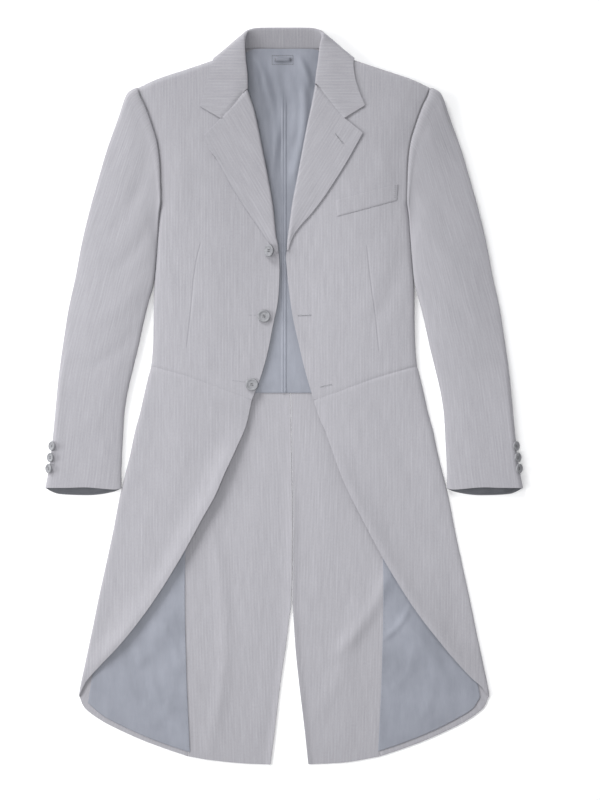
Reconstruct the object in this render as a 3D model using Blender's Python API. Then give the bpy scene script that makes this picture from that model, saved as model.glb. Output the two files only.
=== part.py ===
"""Cutaway tail coat in pale grey wool, single-breasted with notch lapels, laid flat on its back.

The table top is the plane z = 0, the collar points to +y and the fronts face +z.
Every cloth piece is a wall of even thickness mapped between four boundary curves.
Lengths in the tables are millimetres. "out" is the distance from the coat's middle line.
"""

import math

import bpy
import numpy as np

MM = 0.001

# wall thicknesses
FRONT_WALL = 2.4  # cloth, canvas and facing
BODY_WALL = 1.5
SLEEVE_WALL = 1.6
COLLAR_WALL = 1.8
LINING_WALL = 1.0
WELT_WALL = 1.2

SEAM_GAP = 0.3
MIDDLE_Y = 2.6  # the tables' middle to the middle of the coat's length
SIDE_FOLD = 8.0  # radius of the body's side and shoulder folds
SLEEVE_FOLD = 8.0
FRONT_BUTTON = 20.0
CUFF_BUTTON = 15.0
LAPEL_ROLL = 2.2  # radius of the wall's middle where the lapel turns

# shoulder fold: out, y
SHOULDER = ((226.3, 480.5), (200.0, 493.0), (174.0, 502.2), (150.0, 510.0), (102.0, 526.5), (76.0, 537.0))
BACK_NECK = ((62.0, 541.0), (48.0, 542.3), (24.0, 542.3), (0.0, 542.3))

# armhole seam from the shoulder to the underarm: out, y
ARMHOLE = (
    (226.3, 480.5), (221.7, 466.6), (215.5, 454.2), (207.7, 434.0), (203.0, 420.0), (196.9, 399.9),
    (193.8, 381.3), (192.0, 361.0), (191.2, 338.0), (190.7, 318.0), (191.0, 300.0),
)

# side fold from the underarm to the waist seam, then to the front corner of the skirt: out, y
SIDE = ((191.0, 300.0), (192.6, 288.0), (194.0, 275.9), (195.3, 252.7), (198.6, 210.0), (201.5, 170.5),
        (202.3, 117.8), (202.8, 91.5), (204.6, 60.5), (206.2, 49.0))
SKIRT_SIDE = (
    (206.2, 49.0), (209.3, 38.0), (216.5, 8.0), (223.5, -23.3), (231.0, -51.2), (238.8, -88.4),
    (248.0, -125.6), (255.8, -158.1), (265.3, -207.7), (275.9, -257.3), (286.8, -306.9), (296.8, -356.5),
    (307.2, -406.1), (316.5, -450.0), (318.0, -462.0),
)

# seam between the back and the side body, then the pleat line of the skirt: out, y
BACK_SEAM = ((191.0, 300.0), (183.5, 280.0), (168.0, 210.0), (154.0, 110.0), (149.0, 44.0))
PLEAT = ((149.0, 44.0), (151.0, -60.0), (155.0, -200.0), (157.0, -299.0), (154.0, -430.0), (148.0, -556.5))

# waist seam from the side to the front edge: out, y
WAIST = ((206.2, 49.0), (185.0, 43.5), (147.0, 32.5), (106.0, 18.0), (80.0, 8.5), (50.0, -3.0))
UNDER_WAIST = ((206.2, 49.0), (178.0, 46.0), (149.0, 44.0))

# skirt hem from the front corner to the pleat: out, y
HEM = ((318.0, -462.0), (310.5, -480.0), (285.5, -499.5), (257.0, -514.5), (219.0, -531.5), (180.0, -546.0), (148.0, -556.5))

# roll line of the lapel, wearer's right then left: out, y
ROLL = {
    -1: ((55.8, 477.0), (52.6, 467.5), (45.5, 446.4), (34.1, 392.0), (23.5, 338.0), (16.8, 299.0), (10.9, 252.7), (9.4, 240.0)),
    1: ((48.0, 485.0), (46.3, 475.5), (42.2, 454.0), (35.5, 423.0), (28.0, 384.0), (20.0, 341.0), (13.4, 307.0), (8.0, 268.0), (4.9, 242.0)),
}
# front edge from under the roll to the waist seam: out, y
FRONT_EDGE = {
    -1: ((7.9, 220.0), (7.0, 198.0), (9.3, 152.0), (17.0, 113.0), (26.4, 67.0), (38.8, 25.0), (50.0, -3.0)),
    1: ((3.1, 221.7), (3.9, 206.0), (7.8, 167.0), (14.0, 124.0), (23.3, 82.0), (32.6, 43.0), (46.0, -3.0)),
}
# cutaway edge from the waist seam to the front corner: out, y
CUTAWAY = {
    -1: ((50.0, -3.0), (58.9, -42.6), (74.4, -79.0), (93.0, -119.4), (107.0, -151.9), (127.1, -187.6), (149.7, -229.4),
         (168.0, -261.0), (190.7, -297.6), (218.6, -337.9), (252.0, -379.8), (285.5, -415.4), (306.0, -438.0), (311.5, -448.0)),
    1: ((46.0, -3.0), (55.0, -31.0), (63.6, -50.0), (91.5, -127.1), (122.0, -189.0), (155.0, -251.1), (183.7, -298.5),
        (207.4, -334.2), (231.0, -365.0), (262.0, -403.0), (290.0, -433.5), (306.5, -448.0), (311.5, -455.0)),
}

# centre back seam and vent edge of each half: x, y
CENTRE_BACK = {
    -1: ((1.0, 542.3), (3.0, 400.0), (6.0, 200.0), (10.0, 0.0), (13.5, -190.0), (13.0, -270.0), (12.0, -302.0), (8.8, -333.0), (4.7, -375.0),
         (-5.3, -443.0), (-13.0, -508.0), (-20.8, -569.0)),
    1: ((1.0, 542.3), (3.0, 400.0), (6.0, 200.0), (10.0, 0.0), (13.5, -190.0), (13.0, -270.0), (12.4, -302.0), (14.0, -340.0), (17.8, -395.0),
        (22.9, -443.0), (30.7, -508.0), (37.2, -568.6)),
}
BACK_HEM = {
    -1: ((148.0, -556.5), (116.0, -562.0), (65.0, -567.3), (20.8, -569.0)),
    1: ((148.0, -556.5), (101.0, -565.0), (70.0, -567.4), (37.2, -568.6)),
}

# outer edge of each lapel from the notch: out, y
LAPEL_TOP = {
    -1: ((55.8, 477.0), (71.3, 468.0), (80.6, 455.7), (97.6, 433.2), (124.0, 407.6)),
    1: ((48.0, 485.0), (62.0, 471.0), (77.5, 452.0), (93.8, 432.4), (122.4, 410.7)),
}
LAPEL_EDGE = {
    -1: ((124.0, 407.6), (115.0, 384.0), (103.9, 369.0), (83.7, 332.0), (68.2, 307.0), (52.7, 283.6), (38.8, 263.5), (18.5, 240.0)),
    1: ((122.4, 410.7), (110.0, 389.0), (102.3, 375.0), (88.3, 351.8), (74.4, 330.0), (58.9, 307.0), (40.3, 283.6), (24.8, 266.6), (13.5, 243.0)),
}

# height of the coat's top face along the body: y, height at the side, factor at the front edge
HEIGHTS = (
    (560.0, 20.0, 0.95), (500.0, 21.0, 0.90), (440.0, 21.0, 0.76), (360.0, 20.0, 0.66), (280.0, 18.0, 0.60),
    (200.0, 16.0, 0.60), (120.0, 14.5, 0.62), (40.0, 13.0, 0.66), (-60.0, 10.5, 0.74), (-200.0, 8.0, 0.85),
    (-340.0, 7.0, 0.95), (-480.0, 6.4, 1.0),
)

# sleeve edges, outer fold from the shoulder to the cuff and inner fold from the underarm: out, y
SLEEVE_OUTER = (
    (226.3, 480.5), (234.0, 478.6), (241.5, 474.0), (246.5, 465.0), (255.8, 437.0), (273.6, 387.5), (288.3, 338.0),
    (302.3, 288.0), (313.9, 238.7), (323.2, 189.0), (334.0, 139.5), (341.8, 90.0), (348.8, 40.3), (353.8, -9.3),
    (358.5, -58.9), (364.5, -108.0), (370.5, -139.5),
)
SLEEVE_INNER = (
    (191.0, 300.0), (197.6, 291.4), (200.6, 276.0), (202.5, 252.7), (205.2, 210.0), (208.4, 175.0), (212.4, 150.4),
    (218.6, 117.8), (226.3, 79.0), (234.0, 48.0), (243.0, 9.3), (248.0, -23.3), (250.0, -55.8), (252.7, -110.0), (252.7, -140.0),
)
CUFF_TOP = ((370.5, -139.5), (335.0, -139.2), (305.0, -138.6), (262.0, -142.0), (252.7, -140.0))
CUFF_UNDER = ((370.5, -139.5), (360.0, -145.5), (349.0, -149.0), (312.0, -150.8), (290.0, -150.0), (263.0, -145.0), (252.7, -140.0))
# along the sleeve from armhole to cuff: fraction, height, width
SLEEVE_SHAPE = ((0.0, 20.0, 190.0), (0.18, 20.0, 160.0), (0.45, 18.5, 128.0), (0.7, 16.0, 118.0), (1.0, 13.5, 118.0))

# neck edge of a forepart, from the shoulder to the gorge: out, y
NECK_EDGE = {
    -1: ((76.0, 537.0), (73.0, 520.0), (67.6, 500.0)),
    1: ((76.0, 537.0), (68.0, 520.0), (59.5, 501.0)),
}

# collar from the back middle round to the shoulder: where the stand is sewn (n), the roll (r), two lines
# along the leaf (a, b) and its edge (e). "turn" swings the leaf from under the stand to beside it.
COLLAR_COLUMNS = (
    "n_out", "n_y", "n_z", "r_out", "r_y", "r_z", "a_out", "a_y", "a_z",
    "b_out", "b_y", "b_z", "e_out", "e_y", "e_z", "turn",
)
COLLAR_BACK = (
    (0.0, 542.8, 3.0, 0.0, 573.5, 12.0, 0.0, 560.0, 2.2, 0.0, 546.0, 1.05, 0.0, 531.0, 1.05, -90.0),
    (24.0, 542.8, 3.0, 24.0, 573.5, 12.0, 24.0, 560.0, 2.2, 24.0, 546.0, 1.05, 24.0, 531.0, 1.05, -90.0),
    (46.0, 542.8, 3.4, 43.0, 573.0, 12.5, 48.0, 559.0, 2.6, 52.0, 546.0, 1.05, 56.0, 530.0, 1.05, -80.0),
    (62.0, 542.4, 6.0, 54.0, 570.5, 14.0, 65.0, 557.0, 5.0, 74.0, 546.0, 2.0, 84.0, 529.5, 1.4, -55.0),
    (72.0, 541.2, 9.5, 58.5, 567.0, 17.0, 74.0, 555.0, 10.5, 87.0, 543.5, 8.0, 104.0, 528.0, 6.0, -15.0),
    (75.0, 538.9, 15.5, 60.0, 561.0, 21.5, 76.0, 551.5, 18.5, 89.5, 540.5, 18.0, 108.5, 525.8, 16.6, 25.0),
)
# collar over the foreparts, from the shoulder to the gorge and notch
COLLAR_FRONT_COLUMNS = ("r_out", "r_y", "a_out", "a_y", "b_out", "b_y", "e_out", "e_y")
COLLAR_FRONT = {
    -1: (
        (59.9, 546.0, 76.0, 541.5, 91.0, 532.5, 111.0, 518.5),
        (58.9, 524.0, 75.0, 519.0, 93.0, 510.0, 116.0, 502.0),
        (56.4, 500.7, 74.0, 491.0, 94.0, 474.0, 123.0, 476.5),
        (55.8, 477.9, 72.0, 469.2, 98.0, 434.4, 130.2, 451.5),
    ),
    1: (
        (55.5, 546.0, 73.0, 541.5, 88.0, 534.0, 107.5, 519.0),
        (52.9, 524.0, 70.0, 519.0, 88.0, 510.0, 109.0, 502.0),
        (50.0, 503.0, 69.0, 491.0, 90.0, 474.0, 115.0, 479.0),
        (48.0, 485.9, 62.8, 472.4, 94.2, 433.6, 125.5, 453.0),
    ),
}

# breast welt on the wearer's left: corners from the front lower one round: out, y
WELT = ((82.0, 281.0), (175.0, 306.0), (176.5, 331.0), (80.5, 306.5))
# fastening on the wearer's right, and the cuff buttons of each sleeve: out, y, tilt in degrees
FRONT_BUTTONS = ((21.9, 228.4, 28.0), (31.0, 127.1, 3.0), (49.6, 20.9, 4.0))
CUFF_BUTTONS = ((-74.4, 6.4), (-92.2, 6.2), (-109.3, 6.0))

# linings
BACK_LINING_SIDE = ((168.0, 487.0), (176.0, 420.0), (172.0, 340.0), (176.0, 290.0), (182.0, 200.0), (185.0, 100.0), (186.0, 40.0))
BACK_LINING_TOP = ((168.0, 487.0), (120.0, 506.0), (84.0, 519.0), (56.0, 538.0), (44.0, 541.6), (0.0, 541.8))
SKIRT_LINING_SIDE = ((195.0, 34.0), (210.0, -23.0), (237.0, -130.0), (262.0, -257.0), (290.0, -385.0), (304.5, -458.0))
SKIRT_LINING_HEM = {
    -1: ((304.5, -473.0), (282.0, -492.5), (254.5, -507.5), (217.0, -524.8), (181.0, -538.5), (150.0, -548.5)),
    1: ((304.5, -464.0), (293.0, -482.0), (267.0, -498.5), (231.0, -516.8), (184.0, -535.8), (150.0, -548.5)),
}

def smooth(value):
    """Eased step from 0 to 1."""
    t = min(max(value, 0.0), 1.0)
    return t * t * (3.0 - 2.0 * t)


def rounded(distance, radius):
    """Rise of a quarter round, 0 at its edge and 1 from the radius on."""
    t = min(max(distance / radius, 0.0), 1.0)
    return math.sqrt(max(0.0, 1.0 - (1.0 - t) ** 2))


def curve(rows, sharp=False):
    """Curve through the rows, taken as a fraction of its length."""
    points = np.array(rows, float)
    steps = np.linalg.norm(np.diff(points, axis=0), axis=1)
    at = np.concatenate([[0.0], np.cumsum(steps)])
    at /= at[-1]
    slopes = np.zeros_like(points)
    slopes[1:-1] = (points[2:] - points[:-2]) / (at[2:] - at[:-2])[:, None]
    slopes[0] = (points[1] - points[0]) / (at[1] - at[0])
    slopes[-1] = (points[-1] - points[-2]) / (at[-1] - at[-2])

    def place(fraction):
        k = int(np.clip(np.searchsorted(at, fraction, side="right") - 1, 0, len(at) - 2))
        span = at[k + 1] - at[k]
        t = (fraction - at[k]) / span
        if sharp:
            return points[k] * (1.0 - t) + points[k + 1] * t
        return (
            points[k] * (2 * t**3 - 3 * t**2 + 1)
            + slopes[k] * span * (t**3 - 2 * t**2 + t)
            + points[k + 1] * (3 * t**2 - 2 * t**3)
            + slopes[k + 1] * span * (t**3 - t**2)
        )

    return place


def between(top, bottom, left, right):
    """Flat patch inside four curves: top and bottom run left to right, left and right run down."""
    corners = top(0.0), top(1.0), bottom(0.0), bottom(1.0)

    def place(u, v):
        edges = top(u) * (1.0 - v) + bottom(u) * v + left(v) * (1.0 - u) + right(v) * u
        flat = (corners[0] * (1.0 - u) + corners[1] * u) * (1.0 - v) + (corners[2] * (1.0 - u) + corners[3] * u) * v
        return edges - flat

    return place


def material(name, colour, roughness, metallic=0.0):
    made = bpy.data.materials.new(name)
    made.use_nodes = True
    shader = made.node_tree.nodes["Principled BSDF"]
    shader.inputs["Base Color"].default_value = (*colour, 1.0)
    shader.inputs["Roughness"].default_value = roughness
    shader.inputs["Metallic"].default_value = metallic
    made.diffuse_color = (*colour, 1.0)
    return made


def add_body(name, points, faces, made_of):
    """One closed body, turned to face out, in metres."""
    points = (np.array(points, float) - (0.0, MIDDLE_Y, 0.0)) * MM
    volume = 0.0
    for face in faces:
        for k in range(1, len(face) - 1):
            volume += np.dot(points[face[0]], np.cross(points[face[k]], points[face[k + 1]]))
    if volume < 0.0:
        faces = [tuple(reversed(face)) for face in faces]
    mesh = bpy.data.meshes.new(name)
    mesh.from_pydata([tuple(p) for p in points], [], faces)
    mesh.materials.append(made_of)
    body = bpy.data.objects.new(name, mesh)
    bpy.context.scene.collection.objects.link(body)
    return body


def wall(name, surface, us, vs, thickness, made_of, near=1e-5):
    """Cloth wall about a middle surface, closed all round its rim."""
    count_u, count_v = len(us), len(vs)
    upper, lower = [], []
    for v in vs:
        for u in us:
            here = np.array(surface(u, v), float)
            along_u = np.array(surface(u + near, v)) - np.array(surface(u - near, v))
            along_v = np.array(surface(u, v + near)) - np.array(surface(u, v - near))
            normal = np.cross(along_u, along_v)
            normal /= np.linalg.norm(normal)
            upper.append(here + normal * thickness / 2.0)
            lower.append(here - normal * thickness / 2.0)
    base = count_u * count_v
    faces = []
    for j in range(count_v - 1):
        for i in range(count_u - 1):
            a = j * count_u + i
            quad = (a, a + 1, a + 1 + count_u, a + count_u)
            faces.append(quad)
            faces.append(tuple(base + k for k in reversed(quad)))
    rim = [i for i in range(count_u)]
    rim += [j * count_u + count_u - 1 for j in range(1, count_v)]
    rim += [(count_v - 1) * count_u + i for i in range(count_u - 2, -1, -1)]
    rim += [j * count_u for j in range(count_v - 2, 0, -1)]
    for k, a in enumerate(rim):
        b = rim[(k + 1) % len(rim)]
        faces.append((b, a, base + a, base + b))
    return add_body(name, upper + lower, faces, made_of)


def body_height(out, y):
    """Height of the top face over the table, away from the folds."""
    ys = [row[0] for row in reversed(HEIGHTS)]
    side = float(np.interp(y, ys, [row[1] for row in reversed(HEIGHTS)]))
    front = float(np.interp(y, ys, [row[2] for row in reversed(HEIGHTS)]))
    share = smooth((abs(out) - 5.0) / 120.0)
    return side * (front + (1.0 - front) * share)


def fold_middle(y):
    """Height of the side and shoulder folds' outermost line."""
    ys = [row[0] for row in reversed(HEIGHTS)]
    return 0.5 * float(np.interp(y, ys, [row[1] for row in reversed(HEIGHTS)]))


def body_base(out, y):
    """Where the back lies: on the table, and over the collar leaf at the neck."""
    return 2.2 * smooth((y - 430.0) / 92.0) * smooth((152.0 - abs(out)) / 40.0)


def fold_radius(y):
    return 5.0 + (SIDE_FOLD - 5.0) * smooth((y + 460.0) / 300.0)


def top_face(out, y, rise=1.0):
    middle = fold_middle(y)
    return middle + (body_height(out, y) - middle) * rise


def under_face(out, y, rise=1.0):
    base = body_base(out, y)
    return base + (fold_middle(y) - base) * (1.0 - rise)


def fold_steps(width, radius, inner, start=0.025):
    """Fractions of a width that follow a quarter round and then run evenly in."""
    arc = [start, 0.5, 1.0, math.pi / 2.0]
    steps = [radius * (1.0 - math.cos(angle)) / width for angle in arc]
    return steps + [steps[-1] + (1.0 - steps[-1]) * (k + 1) / inner for k in range(inner)]


ARM_LENGTH = float(sum(math.dist(a, b) for a, b in zip(ARMHOLE, ARMHOLE[1:])))
SIDE_LENGTH = float(sum(math.dist(a, b) for a, b in zip(SIDE, SIDE[1:])))


def line_distance(out, y, rows):
    """Shortest distance from a point to a line of rows."""
    here = np.array((out, y))
    best = 1e9
    for a, b in zip(rows, rows[1:]):
        a, b = np.array(a), np.array(b)
        t = np.clip(np.dot(here - a, b - a) / np.dot(b - a, b - a), 0.0, 1.0)
        best = min(best, float(np.linalg.norm(here - a - t * (b - a))))
    return best


def shoulder_face(out, y):
    """Top face by the shoulder fold, where the collar leaf bridges the fold's round."""
    inside = y < np.interp(out, [row[0] for row in reversed(SHOULDER)], [row[1] for row in reversed(SHOULDER)])
    distance = line_distance(out, y, SHOULDER) if inside else 0.0
    return top_face(out, y, max(0.86, rounded(distance, SIDE_FOLD)))


def wearer(side, word):
    return f"{word}_left" if side > 0 else f"{word}_right"


def forepart(side, made_of):
    half = FRONT_WALL / 2.0
    inset = LAPEL_ROLL + half + 0.6
    inner_rows = NECK_EDGE[side] + tuple((out + inset, y) for out, y in ROLL[side]) + FRONT_EDGE[side]
    outer_rows = ARMHOLE + SIDE[1:]
    bottom = curve(WAIST[:-1] + (FRONT_EDGE[side][-1],))
    patch = between(curve(SHOULDER), bottom, curve(outer_rows), curve(inner_rows))
    down, width = ARM_LENGTH + SIDE_LENGTH, 185.0

    def surface(u, v):
        below = v * (down + 120.0 * u)
        rise_side = rounded(math.hypot(u * width, max(0.0, ARM_LENGTH - v * down)), SIDE_FOLD)
        rise_top = rounded(below, SIDE_FOLD)
        tucked = smooth((v * down - ARM_LENGTH) / 10.0 + 1.0)
        out, y = patch(u + half * (1.0 - rise_side) * tucked / width, v + half * (1.0 - rise_top) / down)
        middle = fold_middle(y)
        return side * out, y, middle + (body_height(out, y) - half - middle) * rise_side * rise_top

    us = fold_steps(width, SIDE_FOLD, 7)
    vs = fold_steps(down, SIDE_FOLD, 15)
    vs[-1] = 1.0 - 0.5 * SEAM_GAP / down
    return wall(wearer(side, "forepart"), surface, us, vs, FRONT_WALL, made_of, near=1e-6)


def back(side, made_of):
    half = BODY_WALL / 2.0
    outer_rows = ARMHOLE + BACK_SEAM[1:] + PLEAT[1:]
    inner_rows = tuple((side * x + 0.4, y) for x, y in CENTRE_BACK[side])
    top = curve(SHOULDER + BACK_NECK[:-1] + (inner_rows[0],))
    bottom = curve(BACK_HEM[side][:-1] + (inner_rows[-1],))
    patch = between(top, bottom, curve(outer_rows), curve(inner_rows))
    down = 1060.0

    def surface(u, v):
        start_out = patch(u, 0.0)[0]
        share = smooth((start_out - 60.0) / 16.0)
        rise_top = 1.0 - (1.0 - rounded(v * down, SIDE_FOLD)) * share
        out, y = patch(u, v + half * (1.0 - rise_top) / down)
        rise_side = rounded(line_distance(out, y, SIDE), SIDE_FOLD)
        base = body_base(out, y) + half
        return side * out, y, base + (fold_middle(y) - base) * (1.0 - rise_side * rise_top)

    us = [0.0, 0.2, 0.4, 0.55, 0.65, 0.72, 0.8, 1.0]
    vs = fold_steps(down, SIDE_FOLD, 26)
    return wall(wearer(side, "back"), surface, us, vs, BODY_WALL, made_of, near=1e-6)


def side_body(side, made_of):
    """Panel from the underarm to the waist seam, lying under the forepart."""
    half = BODY_WALL / 2.0
    outer_rows = ((191.3, 297.5),) + SIDE[1:]
    inner_rows = ((190.4, 297.5),) + tuple((out + 0.7, y) for out, y in BACK_SEAM[1:])
    bottom = curve((SIDE[-1], (178.0, 46.0), inner_rows[-1]))
    patch = between(curve((outer_rows[0], inner_rows[0])), bottom, curve(outer_rows), curve(inner_rows))

    def surface(u, v):
        width = 1.0 + 56.0 * v
        rise = rounded(u * width, SIDE_FOLD)
        out, y = patch(u + half * (1.0 - rise) / width, v)
        return side * out, y, half + (fold_middle(y) - half) * (1.0 - rise)

    us = [0.0006, 0.03, 0.1, 0.25, 0.6, 1.0]
    vs = [0.0] + [k / 7.0 for k in range(1, 7)] + [1.0 - 0.5 * SEAM_GAP / SIDE_LENGTH]
    return wall(wearer(side, "side_body"), surface, us, vs, BODY_WALL, made_of, near=1e-6)


def skirt(side, made_of):
    """Skirt from the cutaway edge, round the side fold and in to the pleat line."""
    half = BODY_WALL / 2.0
    fold_line = curve(SKIRT_SIDE)
    pleat_rows = tuple((out + 0.7, y) for out, y in PLEAT)
    waist_front = curve(WAIST[:-1] + (CUTAWAY[side][0],))
    corner = curve((SKIRT_SIDE[-1], CUTAWAY[side][-1]))
    over = between(waist_front, corner, fold_line, curve(CUTAWAY[side]))
    waist_back = curve((UNDER_WAIST[0], UNDER_WAIST[1], pleat_rows[0]))
    under = between(waist_back, curve(HEM[:-1] + (pleat_rows[-1],)), fold_line, curve(pleat_rows))
    arc = 0.3

    def surface(w, v):
        patch = over if w < 0.0 else under
        width = math.dist(patch(0.0, v), patch(1.0, v))
        radius = min(fold_radius(patch(0.0, v)[1]), 0.8 * width)
        share = abs(w)
        if share < arc:
            angle = share / arc * math.pi / 2.0
            distance, rise = radius * (1.0 - math.cos(angle)), math.sin(angle)
        else:
            distance, rise = radius + (width - radius) * (share - arc) / (1.0 - arc), 1.0
        out, y = patch((distance + half * (1.0 - rise)) / width, v)
        middle = fold_middle(y)
        level = body_height(out, y) - half if w < 0.0 else half
        return side * out, y, middle + (level - middle) * rise

    us = [-1.0, -0.83, -0.66, -0.48, -0.3, -0.2, -0.1, 0.0, 0.1, 0.2, 0.3, 0.65, 1.0]
    vs = [0.5 * SEAM_GAP / 540.0] + [k / 17.0 for k in range(1, 18)]
    return wall(wearer(side, "skirt"), surface, us, vs, BODY_WALL, made_of)


def sleeve_surface(side, hem_rows, upper, half):
    """Middle surface of half a sleeve, from the armhole to the cuff."""
    armhole = tuple((out + 0.65, y) for out, y in ARMHOLE)
    outer, inner = armhole[:1] + SLEEVE_OUTER[1:], armhole[-1:] + SLEEVE_INNER[1:]
    patch = between(curve(armhole), curve(hem_rows), curve(outer), curve(inner))
    at = [row[0] for row in SLEEVE_SHAPE]

    def surface(u, v):
        height = float(np.interp(v, at, [row[1] for row in SLEEVE_SHAPE]))
        width = float(np.interp(v, at, [row[2] for row in SLEEVE_SHAPE]))
        rise_out = rounded(u * width, SLEEVE_FOLD)
        rise_in = rounded((1.0 - u) * width, SLEEVE_FOLD)
        shift = half * (rise_in - rise_out) * smooth(v / 0.02) / width
        out, y = patch(u + shift, v)
        away = smooth(v / 0.2)
        top = body_height(out, y) * (1.0 - away) + height * away
        middle = fold_middle(y) * (1.0 - away) + 0.5 * height * away
        level = top - half if upper else half
        return side * out, y, middle + (level - middle) * rise_out * rise_in

    return surface


def sleeve(side, upper, made_of):
    half = SLEEVE_WALL / 2.0
    surface = sleeve_surface(side, CUFF_TOP if upper else CUFF_UNDER, upper, half)
    arc = [0.0002, 0.0075, 0.028, 0.06]
    middle = [0.2, 0.35, 0.5, 0.65, 0.8] if upper else [0.25, 0.5, 0.75]
    us = arc + middle + [1.0 - f for f in reversed(arc)]
    steps = 15 if upper else 12
    vs = [SEAM_GAP / 300.0] + [k / steps for k in range(1, steps + 1)]
    word = "top_sleeve" if upper else "under_sleeve"
    return wall(wearer(side, word), surface, us, vs, SLEEVE_WALL, made_of, near=1e-6)


def sleeve_lining(side, made_of):
    """Lining just inside the cuff, on the under sleeve."""
    level = SLEEVE_WALL + SEAM_GAP + LINING_WALL / 2.0
    hem = curve(((357.0, -141.5), (348.0, -145.6), (312.0, -147.4), (290.0, -146.6), (266.0, -141.0)))
    top = curve(((347.0, -60.0), (300.0, -60.0), (262.0, -60.0)))
    patch = between(top, hem, curve(((347.0, -60.0), (357.0, -141.5))), curve(((262.0, -60.0), (266.0, -141.0))))

    def surface(u, v):
        out, y = patch(u, v)
        return side * out, y, level

    steps = [k / 6.0 for k in range(7)]
    return wall(wearer(side, "sleeve_lining"), surface, steps, [0.0, 0.35, 0.7, 1.0], LINING_WALL, made_of)


def lapel(side, made_of):
    """Front turned back along the roll line and lying on the forepart."""
    half = FRONT_WALL / 2.0
    end = (ROLL[side][-1], LAPEL_EDGE[side][-1])
    patch = between(curve(LAPEL_TOP[side]), curve(end), curve(ROLL[side]), curve(LAPEL_EDGE[side]))
    arc, reach = 0.35, LAPEL_ROLL + half

    def first_share(v):
        """Where the lapel leaves its roll and runs flat."""
        low, high = 0.0, 0.95
        for _ in range(24):
            middle = 0.5 * (low + high)
            if patch(middle, v)[0] - patch(0.0, v)[0] < reach:
                low = middle
            else:
                high = middle
        return low

    def surface(w, v):
        first = first_share(v)
        start_out, start_y = patch(0.0, v)
        if w < arc:
            angle = math.pi * (w / arc - 0.5)
            centre = start_out + reach
            y = start_y + (patch(first, v)[1] - start_y) * (0.5 + 0.5 * math.sin(angle))
            z = top_face(centre, y) + LAPEL_ROLL - half + LAPEL_ROLL * math.sin(angle)
            return side * (centre - LAPEL_ROLL * math.cos(angle)), y, z
        share = (w - arc) / (1.0 - arc)
        out, y = patch(first + (1.0 - first) * share, v)
        lift = half + 0.5 + (2.0 * LAPEL_ROLL - 2.0 * half - 0.5) * (1.0 - smooth(share * 1.2))
        return side * out, y, top_face(out, y) + lift

    us = [0.0, 0.0875, 0.175, 0.2625, 0.35, 0.48, 0.61, 0.74, 0.87, 1.0]
    vs = [0.006] + [k / 13.0 for k in range(1, 14)]
    return wall(wearer(side, "lapel"), surface, us, vs, FRONT_WALL, made_of)


def collar_stations():
    """Seven points across the collar at each station, from one gorge round to the other."""
    half = COLLAR_WALL / 2.0
    names = COLLAR_COLUMNS
    found = {}
    for side in (-1, 1):
        rows = []
        for row in COLLAR_BACK:
            at = dict(zip(names, row))
            points = {k: np.array((at[k + "_out"], at[k + "_y"], at[k + "_z"])) for k in "nrabe"}
            rows.append((points, at["turn"]))
        neck_rows = NECK_EDGE[side] + ((ROLL[side][0][0] + LAPEL_ROLL + FRONT_WALL / 2.0 + 0.6, ROLL[side][0][1]),)
        neck = curve(neck_rows)
        for k, row in enumerate(COLLAR_FRONT[side]):
            at = dict(zip(COLLAR_FRONT_COLUMNS, row))
            n_out, n_y = neck((0.08, 0.35, 0.68, 0.985)[k])
            n_out -= 1.0
            points = {"n": np.array((n_out, n_y, top_face(n_out, n_y) - FRONT_WALL / 2.0 + 0.2))}
            r_top = top_face(at["r_out"], at["r_y"])
            points["r"] = np.array((at["r_out"], at["r_y"], r_top + 1.0))
            for key, lift in (("a", 2.6), ("b", 1.6), ("e", 0.7)):
                out, y = at[key + "_out"], at[key + "_y"]
                points[key] = np.array((out, y, shoulder_face(out, y) + half + lift))
            rows.append((points, (60.0, 90.0, 90.0, 90.0)[k]))
        sections = []
        for points, turn in rows:
            back_to_body = points["n"] - points["r"]
            if turn > 50.0:
                back_to_body = np.array((1.0, -0.25 if turn < 80.0 else 0.0, 0.0))
            back_to_body = back_to_body / np.linalg.norm(back_to_body)
            flat = np.array((-back_to_body[1], back_to_body[0], 0.0))
            angle = math.radians(turn)
            up = np.array((0.0, 0.0, 1.0)) - back_to_body * back_to_body[2]
            up /= np.linalg.norm(up)
            leaf_way = flat * math.cos(angle) + up * math.sin(angle)
            leaf_way /= np.linalg.norm(leaf_way)
            radius = 1.9
            apex = points["r"] + back_to_body * half
            middle = apex + back_to_body * radius
            line = [points["n"], middle - leaf_way * radius, apex, middle + leaf_way * radius]
            line += [points["a"], points["b"], points["e"]]
            sections.append(np.array([(side * p[0], p[1], p[2]) for p in line]))
        found[side] = sections
    return list(reversed(found[-1]))[:-1] + found[1]


def through(points, at):
    """Smooth line through evenly numbered points."""
    last = len(points) - 1
    k = int(min(max(math.floor(at), 0), last - 1))
    t = at - k
    before = points[k - 1] if k > 0 else 2 * points[0] - points[1]
    after = points[k + 2] if k + 2 <= last else 2 * points[last] - points[last - 1]
    a, b = points[k], points[k + 1]
    ta, tb = 0.5 * (b - before), 0.5 * (after - a)
    return (
        a * (2 * t**3 - 3 * t**2 + 1)
        + ta * (t**3 - 2 * t**2 + t)
        + b * (3 * t**2 - 2 * t**3)
        + tb * (t**3 - t**2)
    )


def collar(made_of):
    sections = np.array(collar_stations())

    def surface(s, t):
        across = through(sections, t)
        return through(across, s)

    us = [0.0, 1.0, 1.5, 2.0, 2.5, 3.0, 4.0, 5.0, 6.0]
    last = len(sections) - 1
    vs = [0.0, 1.0, 2.0] + [2.0 + 0.5 * k for k in range(1, 2 * (last - 4) + 1)] + [last - 1.0, float(last)]
    return wall("collar", surface, us, vs, COLLAR_WALL, made_of, near=1e-4)


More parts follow.
